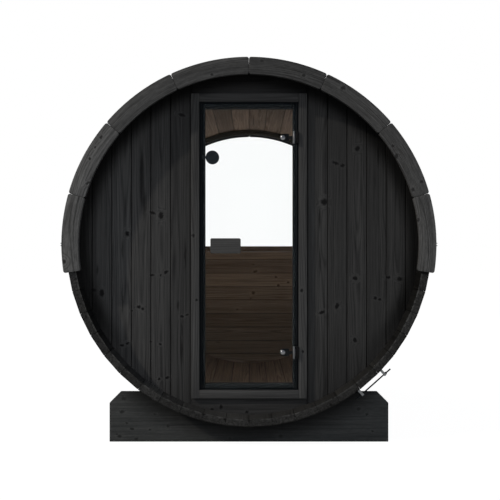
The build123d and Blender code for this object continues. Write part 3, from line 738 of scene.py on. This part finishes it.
# In the same way, the knots of the rear wall, the jambs, the cradles and the trim boards
REAR_KNOTS = [
    (253.3, 264.4, 14, 8, 0), (254.4, 271.7, 11, 11, 0), (276.0, 277.0, 14, 9, 0),
    (278.3, 285.5, 12, 14, 0), (253.3, 292.8, 17, 16, 20), (250.5, 299.0, 8, 14, 0),
    (211.0, 330.0, 22, 6, 0), (218.0, 342.0, 26, 7, 0),
]
JAMB_KNOTS = [
    (301.6, 290.6, 9, 12, 0), (193.2, 235.6, 9, 10, 0), (196.9, 300.0, 8, 8, 0), (302.8, 351.5, 6, 10, 0),
]
CRADLE_KNOTS = [
    (124.0, 398.5, 16, 12, 0), (155.0, 414.6, 11, 7, 0), (122.0, 412.0, 15, 8, 0), (127.0, 423.0, 8, 6, 0),
    (132.0, 429.0, 14, 7, 0), (168.0, 426.0, 11, 10, 0), (136.5, 439.0, 12, 8, 0), (150.0, 429.5, 9, 5, 0),
    (230.0, 438.5, 9, 9, 0), (117.0, 434.0, 6, 5, 0), (180.0, 418.0, 6, 5, 0), (358.7, 408.7, 13, 10, 0),
    (367.0, 414.5, 9, 7, 0), (372.5, 431.0, 8, 6, 0),
]
TRIM_KNOTS = [
    (212.0, 74.5, 10, 6, 0), (303.8, 75.5, 10, 10, 0), (343.0, 88.0, 16, 12, -30), (393.0, 146.0, 8, 9, 0),
    (396.5, 156.0, 10, 16, 0), (413.0, 189.5, 11, 12, 0), (421.5, 181.5, 10, 9, 0),
    (418.5, 220.0, 6, 11, 0), (90.0, 158.5, 7, 9, 0), (87.5, 183.0, 14, 8, -30), (101.0, 137.0, 8, 12, 30),
    (95.0, 147.0, 6, 8, 30), (262.0, 61.0, 12, 7, 0),
]
# Knots and chips on the ends of the staves: pixel and radius in mm
STAVE_END_KNOTS = [
    (203.6, 414.0, 11), (225.0, 419.5, 8), (249.0, 420.5, 9), (143.5, 384.0, 8), (331.0, 405.0, 9),
]
# Dark streaks along the upright boards: pixel, half width and half length in mm
WALL_STREAKS = [
    (141.7, 177.0, 12, 190), (144.5, 205.0, 13, 100), (122.5, 249.0, 7, 75), (122.3, 300.0, 6, 120),
    (97.2, 270.0, 8, 33), (178.0, 305.5, 9, 32), (185.4, 256.0, 7, 95), (181.7, 350.0, 10, 90),
    (319.8, 218.0, 9, 75), (320.0, 262.0, 6, 90), (378.3, 155.0, 8, 80), (182.0, 330.0, 6, 60),
]


def marks_at(knots, y):
    """Knots of the photograph as places on the face at this depth, in metres."""
    marks = []
    for px, py, half_length, half_width, lean in knots:
        marks.append((photo_point(px, py, y), half_length / MM, half_width / MM, radians(lean)))
    return marks


# Finishes

# Stains, each as the colours of the late wood, the early wood and the knots; the stops' and the arch's
# colours are painted shade
BLACK_STAIN = ("#111112", "#333333", "#080809")
FRAME_STAIN = ("#1B1B1C", "#3E3E3E", "#0C0C0D")
TRIM_STAIN = ("#161616", "#484848", "#1A1A1A")
STAVE_STAIN = ("#19191A", "#434342", "#0C0C0C")
CRADLE_STAIN = ("#17191A", "#3A3B3B", "#1A1B1B")
HANDLE_STAIN = ("#242424", "#3E3E3E", "#101010")
# Near black, as painted shade on the stops behind the glass
STOP_PAINTED_SHADE = ("#07090B", "#0F1316", "#050607")
HEAT_TREATED = ("#47392C", "#9A8370", "#524436")
SHADED_ARCH = ("#2A2822", "#4B483F", "#191712")


def make_materials():
    """One material for each finish of the real barrel."""
    return {**wall_woods(), **frame_woods(), **round_woods(), **glass(), **metals(), **coats(),
            "floor": pale_ground()}


def wall_woods():
    """The boards of the two end walls, black outside and heat treated brown towards the room."""
    marks = marks_at(WALL_KNOTS, WALL_FRONT_Y)
    beside = [m for m in marks if abs(m[0][0]) > FRAME_HALF]
    above_and_below = [m for m in marks if abs(m[0][0]) <= FRAME_HALF]
    rear_marks = marks_at(REAR_KNOTS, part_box("rear_wall_lower")[0].y)
    brown = (HEAT_TREATED, towards_the_room)
    return {
        # Planed spruce under a thin black stain: the grain still shows, with dark knots, long dark streaks,
        # and painted light and shade
        "wall_upright": timber("black_stained_spruce_boards", "upright", BLACK_STAIN, knots=0.0, marks=beside,
                               room=brown, joints=BOARD_PITCH, tone_and_painted_light=streaks_and_painted_light),
        # The same spruce with its grain across, so that the boards over and under the door read as rails;
        # painted shade darkens them towards the top
        "wall_level": timber("black_stained_spruce_cross_boards", "plank", BLACK_STAIN, knots=0.0,
                             marks=above_and_below, room=brown, tone_and_painted_light=painted_shade_at_the_top),
        # Level boards that show as warm brown strips with dark knots through the door's glass; painted shade
        # darkens them below
        "rear_level": timber("black_stained_spruce_rear_boards", "level", BLACK_STAIN, knots=0.15,
                             marks=rear_marks, room=brown, joints=BOARD_PITCH, tone_and_painted_light=painted_shade_below),
    }


def frame_woods():
    """The door frame, its stops and the handle."""
    brown = (HEAT_TREATED, towards_the_room)
    jamb_marks = marks_at(JAMB_KNOTS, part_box("door_jamb_left")[0].y)
    return {
        # Closely planed pine, a little paler than the wall, which outlines the door; painted shade darkens it
        # towards the top
        "frame_upright": timber("black_stained_pine_jambs", "upright", FRAME_STAIN, tone=0.05, knots=0.0,
                                marks=jamb_marks, room=brown, tone_and_painted_light=painted_shade_above),
        # The same pine with its grain across, for the head, the sill and the rail under the window; painted
        # shade darkens it towards the top
        "frame_level": timber("black_stained_pine_rails", "level", FRAME_STAIN, tone=0.05, knots=0.05,
                              room=brown, tone_and_painted_light=painted_shade_above),
        # Stops coloured near black as painted shade behind the glass, which make a nearly black line round it
        "stop_upright": timber("dark_pine_stops", "upright", STOP_PAINTED_SHADE, tone=0.0, knots=0.0, roughness=0.88),
        "stop_level": timber("dark_pine_cross_stops", "plank", STOP_PAINTED_SHADE, tone=0.0, knots=0.0,
                             roughness=0.88),
        # Hard, fine ash rubbed by hands: the most even and smoothest of the black woods
        "handle": timber("black_stained_ash", "plank", HANDLE_STAIN, tone=0.0, knots=0.0, roughness=0.5),
    }


def round_woods():
    """What is curved or lies under the barrel: window arch, trim, staves and cradles."""
    trim_marks = marks_at(TRIM_KNOTS, FRONT_Y)
    cradle_marks = marks_at(CRADLE_KNOTS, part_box("cradle_front")[0].y)
    return {
        # Spruce in the shade of the ceiling, a dull brown rim to the bright window
        "window_arch": timber("black_stained_spruce_arch", "round", BLACK_STAIN, tone=0.08,
                              room=(SHADED_ARCH, towards_the_room)),
        # Sawn pine, which takes the stain unevenly, with painted light that makes it lighter at the sides and
        # on the left
        "trim": timber("black_stained_curved_pine", "round", TRIM_STAIN, tone=0.08, knots=0.15,
                       marks=trim_marks, sawn=0.28, tone_and_painted_light=painted_light_on_the_sides),
        # Staves, each of its own tone: black outside, brown between the walls, with speckled end grain, a
        # painted highlight along the inner edge of their ends, and painted shade in the recess and at the
        # lower right
        "staves": timber("black_stained_spruce_staves", "barrel", STAVE_STAIN, tone=0.28,
                         room=(HEAT_TREATED, between_the_walls), joints=2 * pi / STAVES, tone_and_painted_light=stave_end_grain_and_painted_light),
        # Thick knotty planks, with painted shade that makes them darkest where they carry the barrel
        "cradle": timber("black_stained_pine_planks", "plank", CRADLE_STAIN, tone=0.05, knots=0.35,
                         marks=cradle_marks, sawn=0.15, tone_and_painted_light=painted_shade_under_the_barrel),
    }


def glass():
    return {
        # Clear enough to show the rear wall, with a thin dark slate blue line where its edge is seen
        "door_glass": clear_glass("toughened_door_glass", "door_glass"),
        # The same glass, through which the sky shows white
        "window_glass": clear_glass("rear_window_float_glass", "rear_window_glass"),
    }


def metals():
    return {
        # Dark chrome, which mirrors the dark wall and shows only bright edges
        "chrome": metal("dark_chromed_brass", "#2C2E30", 0.3, 0.8, "z"),
        # Satin nickel with a soft light along the barrel of the hinge
        "barrel": metal("satin_nickel_barrel", "#7C7E81", 0.42, 0.8, "z"),
        # Bright nickel, the one sparkle on the door
        "boss": metal("bright_nickel_boss", "#ABADB0", 0.24, 0.8, "z"),
        # Brushed strip, a pale line round the staves
        "steel": metal("brushed_stainless_strip", "#9A9DA0", 0.3, 0.6, "x"),
        # Zinc gone dull and dark, with short soft lights on the rods and nuts
        "zinc": metal("zinc_plated_steel", "#2B2E31", 0.38, 0.8, "x"),
    }


def coats():
    return {
        # Powder coat with a fine even grain, a flat slate black disc on the glass
        "catch": coated("slate_powder_coat", "#101519", 0.5, 0.4),
        # Moulded nylon, nearly black, which makes the metal of the hinge stand out
        "block": coated("black_moulded_nylon", "#050506", 0.5, 0.5),
        # Rubber that swallows the light in the rebate
        "seal": coated("black_silicone_rubber", "#07080A", 0.6, 0.3),
        # Unlit strips that read as the dark of the joints
        "tongue": coated("black_stained_tongue", "#060607", 0.9, 0.5),
    }


# Modelling helpers

def deselect():
    """Go to object mode with nothing selected."""
    if bpy.context.object and bpy.context.object.mode != "OBJECT":
        bpy.ops.object.mode_set(mode="OBJECT")
    bpy.ops.object.select_all(action="DESELECT")


def choose(obj):
    """Select this object alone."""
    deselect()
    obj.select_set(True)
    bpy.context.view_layer.objects.active = obj


def apply_place(obj):
    """Put the object's place, turn and scale into its mesh."""
    choose(obj)
    bpy.ops.object.transform_apply(location=True, rotation=True, scale=True)
    return obj


def disc(place, radius, corners, filled=True, facing="front"):
    """A flat circle primitive that faces the front of the barrel or upwards, with its place in its mesh."""
    deselect()
    turn = (pi / 2, 0, 0) if facing == "front" else (0, 0, 0)
    fill = "NGON" if filled else "NOTHING"
    bpy.ops.mesh.primitive_circle_add(vertices=corners, radius=radius, fill_type=fill, location=place,
                                      rotation=turn)
    return apply_place(bpy.context.object)


def new_block(low, high):
    """A cube primitive between two corners, with its place in its mesh."""
    deselect()
    low, high = Vector(low), Vector(high)
    bpy.ops.mesh.primitive_cube_add(size=1, location=(low + high) / 2, scale=high - low)
    return apply_place(bpy.context.object)


def copy_of(obj):
    """A copy with its own mesh, on no body."""
    copy = obj.copy()
    copy.data = obj.data.copy()
    bpy.context.scene.collection.objects.link(copy)
    return copy


def edit(obj):
    """Enter edit mode with everything selected."""
    choose(obj)
    bpy.ops.object.mode_set(mode="EDIT")
    bpy.ops.mesh.select_all(action="SELECT")


def pick(obj, kind, test):
    """In edit mode, select the faces or edges that pass a test."""
    bpy.ops.mesh.select_mode(type=kind)
    bpy.ops.mesh.select_all(action="DESELECT")
    mesh = bmesh.from_edit_mesh(obj.data)
    for item in (mesh.faces if kind == "FACE" else mesh.edges):
        item.select_set(bool(test(item)))
    bmesh.update_edit_mesh(obj.data)


def leave(obj):
    """Merge doubles, turn the faces outwards and go back to object mode."""
    bpy.ops.mesh.select_mode(type="FACE")
    bpy.ops.mesh.select_all(action="SELECT")
    bpy.ops.mesh.remove_doubles(threshold=MERGED)
    bpy.ops.mesh.normals_make_consistent(inside=False)
    bpy.ops.object.mode_set(mode="OBJECT")
    return obj


def soften(obj, width, segments=2, limit=35):
    """Round the sharp edges with a bevel modifier, and apply it."""
    choose(obj)
    bevel = obj.modifiers.new("round_edges", "BEVEL")
    bevel.width = width
    bevel.segments = segments
    bevel.limit_method = "ANGLE"
    bevel.angle_limit = radians(limit)
    bevel.harden_normals = False
    bpy.ops.object.modifier_apply(modifier=bevel.name)
    bpy.ops.object.shade_smooth_by_angle(angle=radians(30))
    return obj


def joined(objects):
    """One piece out of several meshes."""
    deselect()
    for obj in objects:
        obj.select_set(True)
    bpy.context.view_layer.objects.active = objects[0]
    if len(objects) > 1:
        bpy.ops.object.join()
    return bpy.context.object


def finish_piece(obj, name, mat, body, slot, *replaced):
    """Name a piece, give it its material, and tie it to the frame."""
    obj.name = name
    obj.data.name = name
    obj.data.materials.clear()
    obj.data.materials.append(mat)
    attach(obj, body)
    if replaced:
        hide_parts(*replaced)
    return obj


# End walls

def disc_board(cuts, y_front, y_back, joint_normal):
    """A board of an end wall: a disc cut along straight lines, thickened, with bevelled joints.

    cuts are pairs of a point and a normal, and what lies beyond a cut is removed. The joints are the cuts
    whose normal is along joint_normal."""
    board = disc((0, y_front, AXIS), WALL_RADIUS, corners=180)
    edit(board)
    for point, normal in cuts:
        bpy.ops.mesh.select_all(action="SELECT")
        bpy.ops.mesh.bisect(plane_co=point, plane_no=normal, clear_outer=True)
    bpy.ops.mesh.select_all(action="SELECT")
    bpy.ops.mesh.extrude_region_move(TRANSFORM_OT_translate={"value": (0, y_back - y_front, 0)})
    bpy.ops.mesh.select_all(action="SELECT")
    bpy.ops.mesh.normals_make_consistent(inside=False)
    planes = [(Vector(point), Vector(normal)) for point, normal in cuts]
    joints = [(point, normal) for point, normal in planes if abs(normal.dot(joint_normal)) > 0.9]

    def joint_edge(edge):
        """A long edge of a joint, on either face of the board."""
        ends = [v.co for v in edge.verts]
        on_face = abs(ends[0].y - ends[1].y) < ON_IT
        return on_face and any(all(abs((end - p).dot(n)) < ON_IT for end in ends) for p, n in joints)

    pick(board, "EDGE", joint_edge)
    bpy.ops.mesh.bevel(offset=JOINT_BEVEL, segments=1, affect="EDGES")
    return leave(board)


def upright_boards(x_from, x_to):
    """The vertical boards between two distances from the middle, on one side of the door."""
    side = 1 if x_to > 0 else -1
    boards = []
    edge = min(abs(x_from), abs(x_to))
    outer = max(abs(x_from), abs(x_to))
    while edge < outer - SLIVER:
        following = (round(edge / BOARD_PITCH) + 1) * BOARD_PITCH
        near, far = edge + BOARD_GAP / 2, min(following, outer + BEYOND_WALL) - BOARD_GAP / 2
        left, right = sorted((side * near, side * far))
        cuts = [((left, 0, 0), (-1, 0, 0)), ((right, 0, 0), (1, 0, 0))]
        boards.append(disc_board(cuts, WALL_FRONT_Y, WALL_BACK_Y, Vector((1, 0, 0))))
        edge = following
    return joined(boards)


def tongue(middle, along, length, width, depth):
    """A thin strip that closes the joint between two boards, made along x, y or z."""
    sizes = {"x": (length, depth, width), "y": (width, length, depth), "z": (width, depth, length)}
    reach = Vector(sizes[along]) / 2
    return new_block(Vector(middle) - reach, Vector(middle) + reach)


def make_tongues(mats):
    """Strips in the joints of the boards and staves, so that no light shows through them."""
    strips = []
    middle_y = (WALL_FRONT_Y + WALL_BACK_Y) / 2
    for k in range(1, WALL_JOINTS + 1):
        off = k * BOARD_PITCH
        length = 2 * ((WALL_RADIUS ** 2 - off ** 2) ** 0.5 - WALL_TONGUE_SHORT)
        if off > FRAME_HALF + SLIVER:
            for side in (-1, 1):
                strips.append(tongue((side * off, middle_y, AXIS), "z", length, BOARD_GAP, WALL_TONGUE_DEPTH))
        strips.append(tongue((0, -middle_y, AXIS - off), "x", length, BOARD_GAP, WALL_TONGUE_DEPTH))
    finish_piece(joined(strips), "wall_tongues", mats["tongue"], "shell", "wall_wood")
    strips = []
    length = 2 * (-STAVE_FRONT_Y - STAVE_TONGUE_SHORT)
    middle = (0, 0, SHELL_INNER + STAVE_THICKNESS / 2)
    for i in range(STAVES):
        strip = tongue(middle, "y", length, STAVE_TONGUE_WIDTH, STAVE_TONGUE_DEPTH)
        strip.location.z = AXIS
        strip.rotation_euler = (0, 2 * pi * i / STAVES, 0)
        strips.append(apply_place(strip))
    finish_piece(joined(strips), "stave_tongues", mats["tongue"], "shell", "stave_wood")


def make_front_wall(mats):
    """Upright boards beside the door frame, and one board over it and one under it."""
    for side, name in ((-1, "left"), (1, "right")):
        boards = upright_boards(side * FRAME_HALF, side * WALL_RADIUS)
        finish_piece(boards, f"front_boards_{name}", mats["wall_upright"], "shell", "wall_wood",
                     f"front_wall_{name}")
    beside = [((-FRAME_HALF, 0, 0), (-1, 0, 0)), ((FRAME_HALF, 0, 0), (1, 0, 0))]
    for name, height, beyond in (("over", FRAME_HIGH, -1), ("under", FRAME_LOW, 1)):
        cuts = beside + [((0, 0, height), (0, 0, beyond))]
        board = disc_board(cuts, WALL_FRONT_Y, WALL_BACK_Y, Vector((1, 0, 0)))
        finish_piece(board, f"front_board_{name}_door", mats["wall_level"], "shell", "wall_wood",
                     f"front_wall_{name}_door")


def make_rear_wall(mats):
    """Level boards from the window rail down; one that would be a sliver is joined with the next."""
    low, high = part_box("rear_wall_lower")
    boards = []
    top = high.z - AXIS
    while top > -WALL_RADIUS + SLIVER:
        bottom = round(top / BOARD_PITCH - JUST_BELOW) * BOARD_PITCH
        if top - bottom < LEAST_BOARD:
            bottom -= BOARD_PITCH
        upper, lower = AXIS + top - BOARD_GAP / 2, AXIS + bottom + BOARD_GAP / 2
        cuts = [((0, 0, upper), (0, 0, 1)), ((0, 0, lower), (0, 0, -1))]
        boards.append(disc_board(cuts, low.y, high.y, Vector((0, 0, 1))))
        top = bottom
    finish_piece(joined(boards), "rear_boards", mats["rear_level"], "shell", "wall_wood", "rear_wall_lower")


def paint(mats, finish, *names):
    """Give CAD nodes a material of their own."""
    for name in names:
        nodes[name].data.materials.clear()
        nodes[name].data.materials.append(mats[finish])


# Curved trim boards

def trim_board():
    """One curved board about the barrel's axis, spun from a flat end, its corners and edges rounded."""
    outer, inner = TRIM_OUTER, TRIM_OUTER - TRIM_WIDTH
    thickness = STAVE_FRONT_Y - FRONT_Y
    deselect()
    bpy.ops.mesh.primitive_plane_add(size=1, location=(0, 0, (inner + outer) / 2), rotation=(0, pi / 2, 0))
    board = bpy.context.object
    board.scale = (TRIM_WIDTH, thickness, 1)
    apply_place(board)
    sweep = TRIM_ANGLE - TRIM_GAP / outer
    edit(board)
    bpy.ops.mesh.spin(steps=24, angle=sweep, center=(0, 0, 0), axis=(0, 1, 0))
    leave(board)
    # The spin may turn either way, so the board is turned back by half of what it covers
    side = sum(v.co.x for v in board.data.vertices)
    board.rotation_euler = (0, -sweep / 2 if side > 0 else sweep / 2, 0)
    apply_place(board)
    edit(board)

    def end_corner(edge):
        """An edge through the thickness at a corner of the board."""
        a, b = (v.co for v in edge.verts)
        through = abs(a.x - b.x) < ON_IT and abs(a.z - b.z) < ON_IT
        reach, angle = (a.x ** 2 + a.z ** 2) ** 0.5, abs(atan(a.x / a.z))
        at_edge = min(abs(reach - inner), abs(reach - outer)) < NEAR_IT
        return through and at_edge and abs(angle - sweep / 2) < NEAR_IT

    pick(board, "EDGE", end_corner)
    bpy.ops.mesh.bevel(offset=TRIM_CORNER, segments=6, affect="EDGES")
    leave(board)
    return soften(board, TRIM_EDGE, limit=50)


def make_trim(mats):
    """Four copies of the board on each side of each end."""
    model = trim_board()
    middle = (FRONT_Y + STAVE_FRONT_Y) / 2
    for end, middle_y in (("front", middle), ("rear", -middle)):
        for side, sign in (("left", -1), ("right", 1)):
            boards = []
            for i in range(TRIM_PER_SIDE):
                board = copy_of(model)
                board.location = (0, middle_y, AXIS)
                board.rotation_euler = (0, sign * (i + 0.5) * TRIM_ANGLE, 0)
                boards.append(apply_place(board))
            finish_piece(joined(boards), f"trim_boards_{end}_{side}", mats["trim"], "shell", "trim_wood",
                         f"trim_{end}_{side}")
    bpy.data.objects.remove(model)


# Door frame, stops and seal

def eased_block(low, high, width):
    """A block between two corners, with its edges rounded."""
    return soften(new_block(low, high), width)


def make_door_frame(mats):
    for name, finish in (("door_jamb_left", "frame_upright"), ("door_jamb_right", "frame_upright"),
                         ("door_head", "frame_level"), ("door_sill", "frame_level")):
        piece = eased_block(*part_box(name), FRAME_EDGE)
        piece_name = name.replace("door_", "frame_")
        finish_piece(piece, piece_name, mats[finish], "shell", "frame_wood", name)
    make_stops(mats)
    make_seal(mats)


def make_stops(mats):
    """Two upright stops, and two level ones that fit between them with a little play."""
    low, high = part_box("door_stops")
    inner_x = high.x - STOP_WIDTH
    top, bottom = high.z - STOP_WIDTH, low.z + STOP_WIDTH
    upright = []
    for from_x, to_x in ((low.x, -inner_x), (inner_x, high.x)):
        upright.append(eased_block((from_x, low.y, low.z), (to_x, high.y, high.z), STOP_EDGE))
    level = []
    end_x = inner_x - STOP_PLAY
    for from_z, to_z in ((top, high.z), (low.z, bottom)):
        level.append(eased_block((-end_x, low.y, from_z), (end_x, high.y, to_z), STOP_EDGE))
    finish_piece(joined(upright), "stops_upright", mats["stop_upright"], "shell", "frame_wood", "door_stops")
    finish_piece(joined(level), "stops_level", mats["stop_level"], "shell", "frame_wood")


def make_seal(mats):
    """A rubber bead all round, which stands proud of the stops and clear of the glass."""
    low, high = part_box("door_stops")
    left, right, front_y = low.x + SEAL_INSET, high.x - SEAL_INSET, low.y - SEAL_PROUD
    seals = []
    bottom, top = low.z + SEAL_HEIGHT, high.z - SEAL_HEIGHT
    for x in (left, right - SEAL_WIDTH):
        seals.append(eased_block((x, front_y, bottom), (x + SEAL_WIDTH, low.y, top), SEAL_EDGE))
    for z in (low.z, top):
        seals.append(eased_block((left, front_y, z), (right, low.y, z + SEAL_HEIGHT), SEAL_EDGE))
    finish_piece(joined(seals), "door_seal", mats["seal"], "shell", "frame_wood")


# Cradles

def make_cradles(mats):
    """Each cradle keeps its CAD outline; its edges are eased and its faces take the plank's grain."""
    for name in ("cradle_front", "cradle_rear"):
        piece = copy_of(nodes[name])
        piece.parent = None
        edit(piece)
        bpy.ops.mesh.remove_doubles(threshold=MERGED)
        bpy.ops.mesh.dissolve_limited(angle_limit=radians(0.5))
        bpy.ops.mesh.normals_make_consistent(inside=False)
        bpy.ops.object.mode_set(mode="OBJECT")
        soften(piece, CRADLE_EDGE, limit=40)
        for key in list(piece.keys()):
            if key.startswith("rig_"):
                del piece[key]
        finish_piece(piece, f"plank_{name}", mats["cradle"], "shell", "cradle_wood", name)


# Hinges

def domed_plate(left_x, right_x, middle_z, face_y):
    """The plate on the glass: round at its left end, straight at its right, domed like a pillow."""
    half = PLATE_HEIGHT / 2
    plate = disc((left_x + half, face_y, middle_z), half, corners=64)
    # The right half of the circle is drawn out to the plate's straight end
    edit(plate)
    bpy.ops.mesh.bisect(plane_co=(left_x + half, 0, 0), plane_no=(1, 0, 0), clear_outer=True)
    pick(plate, "EDGE", lambda e: all(abs(v.co.x - left_x - half) < ON_IT for v in e.verts))
    bpy.ops.mesh.extrude_region_move(TRANSFORM_OT_translate={"value": (right_x - left_x - half, 0, 0)})
    bpy.ops.mesh.select_mode(type="FACE")
    bpy.ops.mesh.select_all(action="SELECT")
    bpy.ops.mesh.dissolve_limited(angle_limit=radians(1))
    bpy.ops.mesh.select_all(action="SELECT")
    swell(PLATE_RIM, PLATE_DOME)
    return leave(plate)


def swell(rim, dome):
    """In edit mode, draw the selected face forwards into a rim and a dome."""
    bpy.ops.mesh.extrude_region_move(TRANSFORM_OT_translate={"value": (0, -rim, 0)})
    for inset, rise in dome:
        bpy.ops.mesh.inset(thickness=inset)
        bpy.ops.transform.translate(value=(0, -rise, 0))


def domed_boss(x, z, y):
    """The round bolt head on the plate, swollen like a button."""
    boss = disc((x, y, z), BOSS_RADIUS, corners=48)
    edit(boss)
    swell(BOSS_RIM, BOSS_DOME)
    leave(boss)
    bpy.ops.object.shade_smooth_by_angle(angle=radians(60))
    return boss


def hinge_knuckle(centre, middle_z, half):
    """The door's part of the barrel: a tube round the pin."""
    tube = disc((*centre, middle_z - half), BARREL_RADIUS, corners=40, filled=False, facing="up")
    edit(tube)
    # The circle has no face yet, so it is picked by its edges
    bpy.ops.mesh.select_mode(type="EDGE")
    bpy.ops.mesh.select_all(action="SELECT")
    bpy.ops.mesh.extrude_region_move(TRANSFORM_OT_translate={"value": (0, 0, 0)})
    bore = (PIN_RADIUS + PIN_PLAY) / BARREL_RADIUS
    bpy.ops.transform.resize(value=(bore, bore, 1), center_override=(*centre, middle_z - half))
    bpy.ops.mesh.select_mode(type="FACE")
    bpy.ops.mesh.select_all(action="SELECT")
    bpy.ops.mesh.extrude_region_move(TRANSFORM_OT_translate={"value": (0, 0, 2 * half)})
    return soften(leave(tube), KNUCKLE_EDGE, limit=50)


def rod(place, radius, length, corners, along="z"):
    """A cylinder primitive, upright or from front to back, with its place in its mesh."""
    deselect()
    turn = (pi / 2, 0, 0) if along == "y" else (0, 0, 0)
    bpy.ops.mesh.primitive_cylinder_add(vertices=corners, radius=radius, depth=length, location=place,
                                        rotation=turn)
    return apply_place(bpy.context.object)


def make_hinges(mats):
    """Each hinge: plate, neck, knuckle, cap and round head on the door; block, lugs and pin on the jamb."""
    front_y, back_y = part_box("door_glass")[0].y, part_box("door_glass")[1].y
    for name in ("upper", "lower"):
        low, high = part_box(f"hinge_leaf_{name}")
        middle_z, half = (low.z + high.z) / 2, (high.z - low.z) / 2
        centre = (low.x + BARREL_RADIUS, low.y + BARREL_RADIUS)
        plate_right = centre[0] - NECK_LENGTH
        plate_left = plate_right - PLATE_WIDTH
        plate = domed_plate(plate_left, plate_right, middle_z, front_y)
        choose(plate)
        bpy.ops.object.shade_smooth_by_angle(angle=radians(50))
        neck = hinge_neck(plate_right, centre[0], middle_z, front_y)
        cap = rod((plate_left + PLATE_HEIGHT / 2, back_y + CAP_THICKNESS / 2, middle_z), CAP_RADIUS,
                  CAP_THICKNESS, corners=48, along="y")
        cap = soften(cap, CAP_EDGE, segments=3, limit=50)
        finish_piece(joined([plate, neck, cap]), f"hinge_plate_{name}", mats["chrome"], "door", "dark_metal",
                     f"hinge_strap_{name}")
        boss = domed_boss(plate_left + BOSS_RADIUS + BOSS_FROM_END, middle_z, front_y - BOSS_FROM_GLASS)
        finish_piece(boss, f"hinge_boss_{name}", mats["boss"], "door", "dark_metal")
        knuckle = hinge_knuckle(centre, middle_z, half - LUG_HEIGHT - KNUCKLE_PLAY)
        finish_piece(knuckle, f"hinge_knuckle_{name}", mats["barrel"], "door", "dark_metal")
        make_hinge_leaf(mats, name, low, high)


def hinge_neck(plate_right, pin_x, middle_z, front_y):
    """The neck comes forward a little from the plate to the knuckle."""
    half = NECK_HEIGHT / 2
    neck = new_block((plate_right - NECK_OVERLAP, front_y - STRAP_THICKNESS + NECK_OVERLAP, middle_z - half),
                     (pin_x - PIN_RADIUS - NECK_FROM_PIN, front_y, middle_z + half))
    edit(neck)
    pick(neck, "FACE", lambda f: f.normal.x > 0.9)
    bpy.ops.transform.translate(value=(0, -NECK_STEP, 0))
    return soften(leave(neck), NECK_EDGE, segments=3)


def make_hinge_leaf(mats, name, low, high):
    """The moulded block beside the jamb, and the two ends of the barrel and the pin that it carries."""
    block_x = high.x - LEAF_WIDTH
    middle_z, half = (low.z + high.z) / 2, (high.z - low.z) / 2
    centre = (low.x + BARREL_RADIUS, low.y + BARREL_RADIUS)
    front_y, back_y = low.y + LUG_INSET, low.y + 2 * BARREL_RADIUS - LUG_INSET
    solid = [soften(new_block((block_x, low.y, low.z), high), BLOCK_EDGE, segments=3)]
    ends = []
    for sign in (-1, 1):
        place = (*centre, middle_z + sign * (half - LUG_HEIGHT / 2))
        ends.append(soften(rod(place, BARREL_RADIUS, LUG_HEIGHT, corners=40), LUG_EDGE, segments=3, limit=50))
        bottom, top = sorted((middle_z + sign * half, middle_z + sign * (half - LUG_HEIGHT)))
        lug = new_block((centre[0], front_y, bottom + KNUCKLE_PLAY),
                        (block_x + KNUCKLE_PLAY, back_y, top - KNUCKLE_PLAY))
        solid.append(soften(lug, KNUCKLE_EDGE))
    finish_piece(joined(solid), f"hinge_block_{name}", mats["block"], "shell", "dark_metal",
                 f"hinge_leaf_{name}")
    ends.append(rod((*centre, middle_z), PIN_RADIUS, 2 * (half - LUG_HEIGHT + PIN_OVERLAP), corners=24))
    finish_piece(joined(ends), f"hinge_barrel_{name}", mats["barrel"], "shell", "dark_metal")


# Metal parts and glass

def make_finishes(mats):
    """The CAD nodes that are shown as they are."""
    paint(mats, "staves", *[n for n in nodes if n.startswith("staves_")])
    paint(mats, "door_glass", "door_glass")
    paint(mats, "window_glass", "rear_window_glass")
    paint(mats, "steel", "band_front", "band_middle", "band_rear")
    paint(mats, "zinc", "tensioner_front", "tensioner_middle", "tensioner_rear")
    paint(mats, "catch", "door_catch")
    paint(mats, "handle", "door_handle_outer", "door_handle_inner")
    paint(mats, "window_arch", "rear_window_arch", "rear_window_bead")
    paint(mats, "frame_level", "rear_window_rail")


def make_floor(mats):
    """Flat ground under the cradles."""
    deselect()
    bpy.ops.mesh.primitive_plane_add(size=GROUND_SIZE, location=(0, 0, 0))
    floor = bpy.context.object
    floor.name = "ground"
    floor.data.materials.append(mats["floor"])


make_camera()
make_light()
mats = make_materials()
make_front_wall(mats)
make_rear_wall(mats)
make_tongues(mats)
make_trim(mats)
make_door_frame(mats)
make_cradles(mats)
make_hinges(mats)
make_finishes(mats)
make_floor(mats)
bpy.context.scene.view_settings.view_transform = "Standard"
